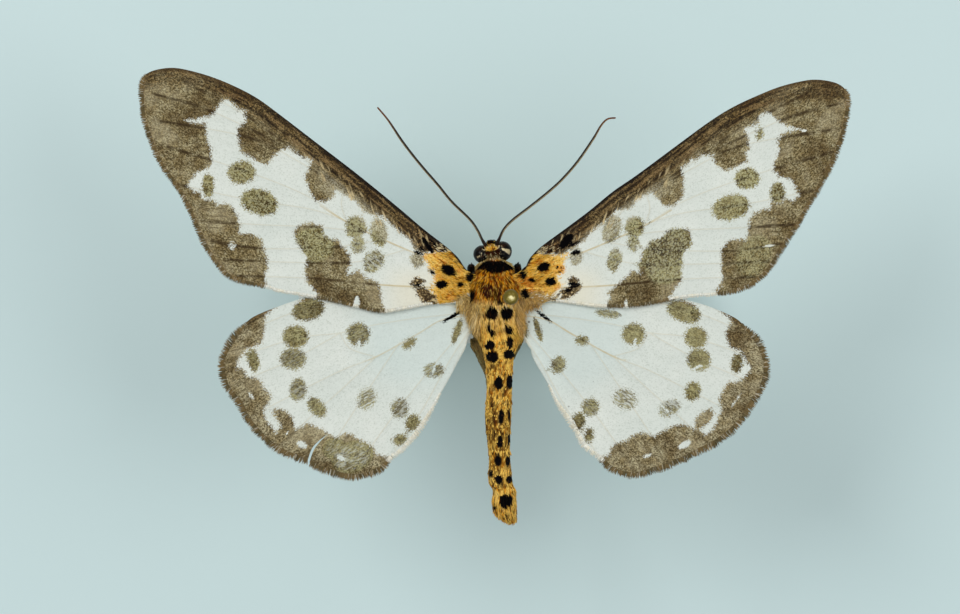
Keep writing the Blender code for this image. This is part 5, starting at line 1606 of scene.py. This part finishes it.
for label, points, side in (
    ("front_left", FRONT_LEG, -1), ("front_right", FRONT_LEG, 1), ("middle_left", MIDDLE_LEG, -1),
    ("middle_right", MIDDLE_LEG, 1), ("hind_left", HIND_LEG_LEFT, -1), ("hind_right", HIND_LEG_RIGHT, 1),
):
    rows, faces, first = [], [], 0
    for number, (path, radii) in enumerate(leg_parts(np.array(points) * (side, 1, 1))):
        places, out, part_faces = tube(path, radii, LEG_SIDES)
        faces += [tuple(corner + first for corner in face) for face in part_faces]
        first += len(places)
        share = np.repeat(np.linspace(0, 1, len(path)), LEG_SIDES)
        run = np.tile(unit(path[-1] - path[0]), (len(places), 1))
        tint = leg_tint(label, number, share, places)
        rows.append((places, out, tint, run, np.full(len(places), number)))
    places, out, tints, runs, part_of = (np.concatenate(column) for column in zip(*rows))
    piece = add_piece(
        "leg_horn_" + label, at_height(places), faces, horn_finish.material, ["leg_" + label],
    )
    add_tint(piece, tints)
    draw = np.random.default_rng(31 + len(label) + side)
    clad = np.flatnonzero(part_of < CLAD_PARTS)
    pick = draw.choice(clad, min(LEG_SCALES, len(clad)), replace=False)
    rough = draw.uniform(0.7, 1.2, len(pick))
    size = rough * np.where(part_of[pick] < len(LEG_SWELLS), 1.0, 0.6)
    spots = np.column_stack([pick / len(places), part_of[pick] / 12]) * 0.9 + 0.05
    tuft_mesh(
        "leg_scales_" + label, places[pick] - out[pick] * 0.03, unit(runs[pick] + out[pick] * 0.28),
        out[pick], 0.26 * size, 0.10 * size, tints[pick] * rough[:, None], spots, fringe_finish, "leg",
        **LEG_FORM,
    )


# Coat
# Hair and scales of horn, each rooted in its own socket of the skin and
# laid back towards the tail, longest on the chest and its sides.
GOLDEN = 0.6180339887
SEGMENT_ENDS = (-3.6, -6.1, -8.7, -11.2, -13.0, -14.6, -16.2)
FACE_HAIRS = 380
EYE_CLEAR = (0.74, 0.60, 0.78)
# How the kinds of tuft swell along their length, droop and end
HAIR_FORM = {"shares": (0.0, 0.55), "swells": (0.9, 0.85), "droop": 0.16, "thin": 0.4}
SCALE_FORM = {"shares": (0.0, 0.5, 0.86), "swells": (0.6, 1.0, 0.75), "droop": 0.08, "thin": 0.16}
STRAND_FORM = {"shares": (0.0, 0.4, 0.75), "swells": (1.0, 0.9, 0.6), "thin": 0.5}


def spread_roots(front, rear, count, draw):
    """Places along the body and angles round it, spread evenly."""
    stops = np.linspace(front, rear, 240)
    girth = np.interp(-stops, -ring_table[:, 0], ring_table[:, 3] + ring_table[:, 4])
    total = np.concatenate([[0], np.cumsum(girth[1:] + girth[:-1])])
    number = np.arange(count)
    y = np.interp((number + draw.uniform(0, 1, count)) / count * total[-1], total, stops)
    return y, 2 * np.pi * ((number * GOLDEN + draw.uniform(-0.01, 0.01, count)) % 1.0)


def body_map(y, angle):
    """Places in the map for places on the body."""
    return np.column_stack([(angle / (2 * np.pi)) % 1.0 * 0.94 + 0.03, (y + 19.5) / 24.5 * 0.94 + 0.03])


def off_eyes(places):
    """Which places lie clear of both eyes."""
    eyes = [on_head(side * EYE_OUT, 0, 0) for side in (-1, 1)]
    return np.min([np.linalg.norm((places - eye) / EYE_CLEAR, axis=1) for eye in eyes], axis=0) > 1.0


def grow_coat(
    name, y, angle, lengths, widths, lift, sway, draw,
    slot="body_fur", form=HAIR_FORM, ahead=0.0, pepper=0.5,
):
    """Grows tufts on the skin, leaning together in small locks."""
    roots, outward, rearward, around = on_body(y, angle, -0.05)
    lean = mottle(roots, 0.42, 21) - 0.5
    rise = mottle(roots, 0.30, 22)
    aim = rearward * (1 - 2 * ahead) + outward * (lift * (0.6 + 0.8 * rise))[:, None]
    aim = aim + around * ((sway * np.cos(angle)) + 0.75 * lean + draw.normal(0, 0.10, len(y)))[:, None]
    aim = unit(aim + outward * draw.normal(0, 0.05, len(y))[:, None])
    shown = roots + aim * lengths[:, None] * 0.62
    tints = body_tint(shown) * draw.uniform(1.0, 1.8, (len(y), 1))
    dice = draw.uniform(0, 1, len(y))
    black = tints.sum(1) < 0.1
    tints = mixed(tints, TONES["umber"], 0.8 * (black & (dice < 0.10)))
    dice = dice + 2.0 * black
    tints = mixed(tints, TONES["umber"], pepper * (dice < 0.18))
    pale = TONES["lemon"] * 1.3 if slot == "body_fur" else TONES["cream"]
    tints = mixed(tints, pale, pepper * (np.abs(dice - 0.92) < 0.07))
    tuft_mesh(
        name, roots, aim, outward, lengths, widths, tints, body_map(y, angle), coat_material, slot, **form,
    )


coat_material = coat_finish("body_coat", 0.55)
draw = np.random.default_rng(5)
y, angle = spread_roots(3.12, -3.9, 13600, draw)
long = 0.62 + 0.4 * ease(-y, 0.4, 2.4) + 0.25 * ease(np.abs(np.cos(angle)), 0.6, 1.0)
long = (long - 0.25 * ease(y, 1.9, 2.4)) * (1 - 0.5 * ease(-y, 2.4, 3.9))
grow_coat(
    "chest_fur", y, angle, long * draw.uniform(0.75, 1.2, len(y)), draw.uniform(0.05, 0.09, len(y)),
    0.42 - 0.2 * ease(-y, 0.3, 1.4), -0.35, draw,
)
y, angle = spread_roots(-3.2, -16.6, 11500, draw)
end = np.min([np.where(y >= stop, y - stop, 9.0) for stop in SEGMENT_ENDS], axis=0)
hem = 1 - ease(end, 0.05, 0.35)
grow_coat(
    "belly_scales", y, angle, (0.34 + 0.16 * hem) * draw.uniform(0.8, 1.2, len(y)),
    draw.uniform(0.10, 0.16, len(y)), 0.18 + 0.14 * hem, 0.0, draw, form=SCALE_FORM, pepper=0.75,
)
y, angle = spread_roots(-16.0, -18.6, 2600, draw)
grow_coat(
    "tail_scales", y, angle, draw.uniform(0.55, 0.85, len(y)) * (1 + 0.2 * ease(-y, 17.4, 18.4)),
    draw.uniform(0.06, 0.10, len(y)), np.full(len(y), 0.16), 0.0, draw, form=SCALE_FORM, pepper=0.75,
)
y, angle = spread_roots(4.5, 2.9, 2600, draw)
clear = off_eyes(on_body(y, angle)[0])
y, angle = y[clear], angle[clear]
grow_coat(
    "head_fur", y, angle, draw.uniform(0.28, 0.5, len(y)), draw.uniform(0.05, 0.09, len(y)),
    np.full(len(y), 0.5), 0.0, draw, slot="dark_fur", ahead=ease(y, 3.7, 4.1)[:, None], pepper=0.85,
)

# A black tuft juts out over the face
roots = np.column_stack([
    draw.uniform(-0.64, 0.14, FACE_HAIRS), draw.uniform(4.38, 4.56, FACE_HAIRS),
    draw.uniform(-0.5, 0.22, FACE_HAIRS),
])
arch = 1.08 - 0.75 * ((roots[:, 0] + 0.25) / 0.4) ** 2
rise = 0.25 * roots[:, 2] + draw.normal(0.1, 0.15, FACE_HAIRS)
aim = unit(np.column_stack([0.5 * (roots[:, 0] + 0.3), np.ones(FACE_HAIRS), rise]))
shade = mixed(TONES["soot"], TONES["umber"], draw.uniform(0, 1, FACE_HAIRS) ** 3)
pale = (draw.uniform(0, 1, FACE_HAIRS) < 0.35) * (np.abs(roots[:, 0] + 0.28) > 0.2)
shade = mixed(shade, TONES["lemon"], 0.8 * pale)
tuft_mesh(
    "face_tuft", roots, aim, upright(FACE_HAIRS), draw.uniform(0.22, 0.34, FACE_HAIRS) * arch,
    draw.uniform(0.06, 0.10, FACE_HAIRS), shade,
    np.column_stack([roots[:, 2] * 0.1 + 0.25, roots[:, 0] * 0.1 + 0.95]),
    coat_material, "dark_fur", (0.0, 0.6), (1.0, 0.9), 0.1, 0.4,
)

# Long hair of the flanks, over the roots of the hindwings
for side, label in ((-1, "left"), (1, "right")):
    draw = np.random.default_rng(77 + side)
    count = 1900
    y = draw.uniform(-2.8, -0.2, count)
    angle = np.where(side > 0, 0.0, np.pi) + side * draw.uniform(-0.4, 0.55, count)
    roots, outward, rearward, around = on_body(y, angle, -0.06)
    wander = mottle(roots, 0.35, 41 + side)
    aim = np.column_stack([
        side * (0.48 + 0.10 * side + 0.7 * (wander - 0.5)), -0.88 + 0.12 * y, 0.06 + 0.25 * (wander - 0.5),
    ])
    aim = unit(aim + draw.normal(0, 0.10, (count, 3)))
    lengths = draw.uniform(0.7, 1.8, count) * (1 - 0.4 * ease(-y, 1.6, 2.8))
    # Shorter strands fan over the roots of the wings
    fan = np.arange(count) < (420 if side > 0 else 320)
    near = 1.8 + (2.1 if side > 0 else 1.3) * draw.uniform(0, 1, count) ** 1.5
    over = np.column_stack([side * near, draw.uniform(-0.8, -0.05, count), draw.uniform(0.30, 0.50, count)])
    roots = np.where(fan[:, None], over, roots)
    slope = np.column_stack([
        side * draw.uniform(-0.7, 0.7, count), np.full(count, -0.9), draw.uniform(-0.4, 0.0, count),
    ])
    aim = np.where(fan[:, None], unit(slope), aim)
    outward = np.where(fan[:, None], (0.0, 0.0, 1.0), outward)
    lengths = np.where(fan, draw.uniform(0.4, 1.5, count) * (1.0 - 0.3 * (near - 1.8)), lengths)
    shade = mixed(TONES["dun"], TONES["khaki"], ease(mottle(roots, 0.3, 43), 0.25, 0.6))
    pale = (0.35 if side > 0 else 0.6) * ease(mottle(roots, 0.4, 44), 0.55, 0.8)
    shade = mixed(shade, TONES["cream"], pale)
    shade = shade * ((0.98, 0.86, 0.68) if side > 0 else (1.10, 1.07, 0.98))
    shade = mixed(shade, TONES["dun"] * 0.5, 0.7 * draw.uniform(0, 1, count) ** 3)
    shade = shade * draw.uniform(1.1, 1.8, (count, 1))
    tuft_mesh(
        "flank_hair_" + label, roots, aim, outward, lengths, draw.uniform(0.035, 0.06, count), shade,
        body_map(y, angle), coat_material, "body_fur", droop=0.1, **STRAND_FORM,
    )

# Olive hair that hangs from the left hind knee along the belly
draw = np.random.default_rng(83)
count = 420
roots = np.column_stack([
    draw.uniform(-2.05, -1.25, count), draw.uniform(-4.2, -3.5, count), draw.uniform(-1.9, -1.1, count),
])
aim = unit(np.array((-0.62, -6.7, -1.7)) - roots + draw.normal(0, 0.12, (count, 3)))
shade = mixed(TONES["olive"], TONES["dun"], draw.uniform(0, 1, count)) * draw.uniform(0.8, 1.7, (count, 1))
lengths = draw.uniform(1.0, 2.3, count) * (1 - 0.65 * ease(-roots[:, 0], 1.5, 1.9))
tuft_mesh(
    "hip_hair_left", roots, aim, upright(count), lengths, draw.uniform(0.04, 0.07, count), shade,
    np.column_stack([roots[:, 2] * 0.1 + 0.6, roots[:, 1] * 0.04 + 0.75]), coat_material, "body_fur",
    droop=0.05, **STRAND_FORM,
)

def root_fur_tint(name, shown, near, grain, blotch, dice):
    """Colours of the fur at a wing root, with the wing's own marks in it."""
    wing = wings[name]
    shade = mixed(TONES["amber"], TONES["lemon"], ease(grain, 0.4, 0.7))
    shade = mixed(shade, TONES["orange"], 0.65 * ease(blotch, 0.5, 0.75))
    shade = mixed(shade, TONES["rust"], 0.8 * ease(1 - grain, 0.66, 0.86))
    shade = mixed(shade, TONES["umber"], 0.8 * (dice < 0.10))
    shade = mixed(shade, TONES["lemon"] * 1.3, 0.75 * (dice > 0.88))
    # Beige hair along the rear of the root
    rear = ease(0.15 - patch(shown, AMBER[name]), 0.0, 0.35) * ease(1.0 - shown[:, 1], 0.2, 0.7)
    shade = mixed(shade, mixed(TONES["khaki"], TONES["dun"], dice), 0.85 * rear)
    brown = mixed(TONES["umber"], mixed(TONES["dun"], TONES["cream"], dice), dice > 0.55)
    shade = mixed(shade, brown, ease(wing.pattern(shown)[0], -0.06, 0.06) * (near > 2.4))
    return mixed(shade, TONES["soot"], ease(wing.base_spots(shown), -0.06, 0.06))


# Short orange fur of the forewing roots
for name in ("forewing_left", "forewing_right"):
    wing = wings[name]
    draw = np.random.default_rng(90 + wing.side)
    spots = np.column_stack([wing.side * draw.uniform(1.3, 6.2, 5600), draw.uniform(-1.0, 4.4, 5600)])
    near = np.abs(spots[:, 0])
    keep = inside(spots, wing.rim, 0.05) & (draw.uniform(0, 1, len(spots)) < 1 - ease(near, 3.2, 5.6))
    spots, near = spots[keep], near[keep]
    flat = np.column_stack([spots, np.zeros(len(near))])
    grain = mottle(flat, 0.2, 51)
    aim = np.column_stack([
        np.full(len(near), 0.9 * wing.side), 0.30 + 0.6 * (grain - 0.5), 0.26 + 0.2 * grain,
    ])
    aim = unit(aim + draw.normal(0, 0.12, aim.shape))
    lengths = draw.uniform(0.35, 0.6, len(near)) * (1.1 - 0.35 * ease(near, 2.5, 5.5))
    shown = spots + aim[:, :2] * lengths[:, None] * 0.6
    dice = draw.uniform(0, 1, len(near))
    shade = root_fur_tint(name, shown, near, grain, mottle(flat, 0.7, 52), dice)
    shade = shade * draw.uniform(0.95, 1.45, (len(near), 1))
    roots = np.column_stack([spots, wing.level(spots) + MEMBRANE / 2 - 0.03])
    tuft_mesh(
        name.replace("wing", "wing_root_fur"), roots, aim, upright(len(near)), lengths,
        draw.uniform(0.045, 0.075, len(near)), shade, wing_map(wing, spots, 0), coat_material, "wing",
        (0.0, 0.55), (1.0, 0.85), 0.2, 0.4,
    )
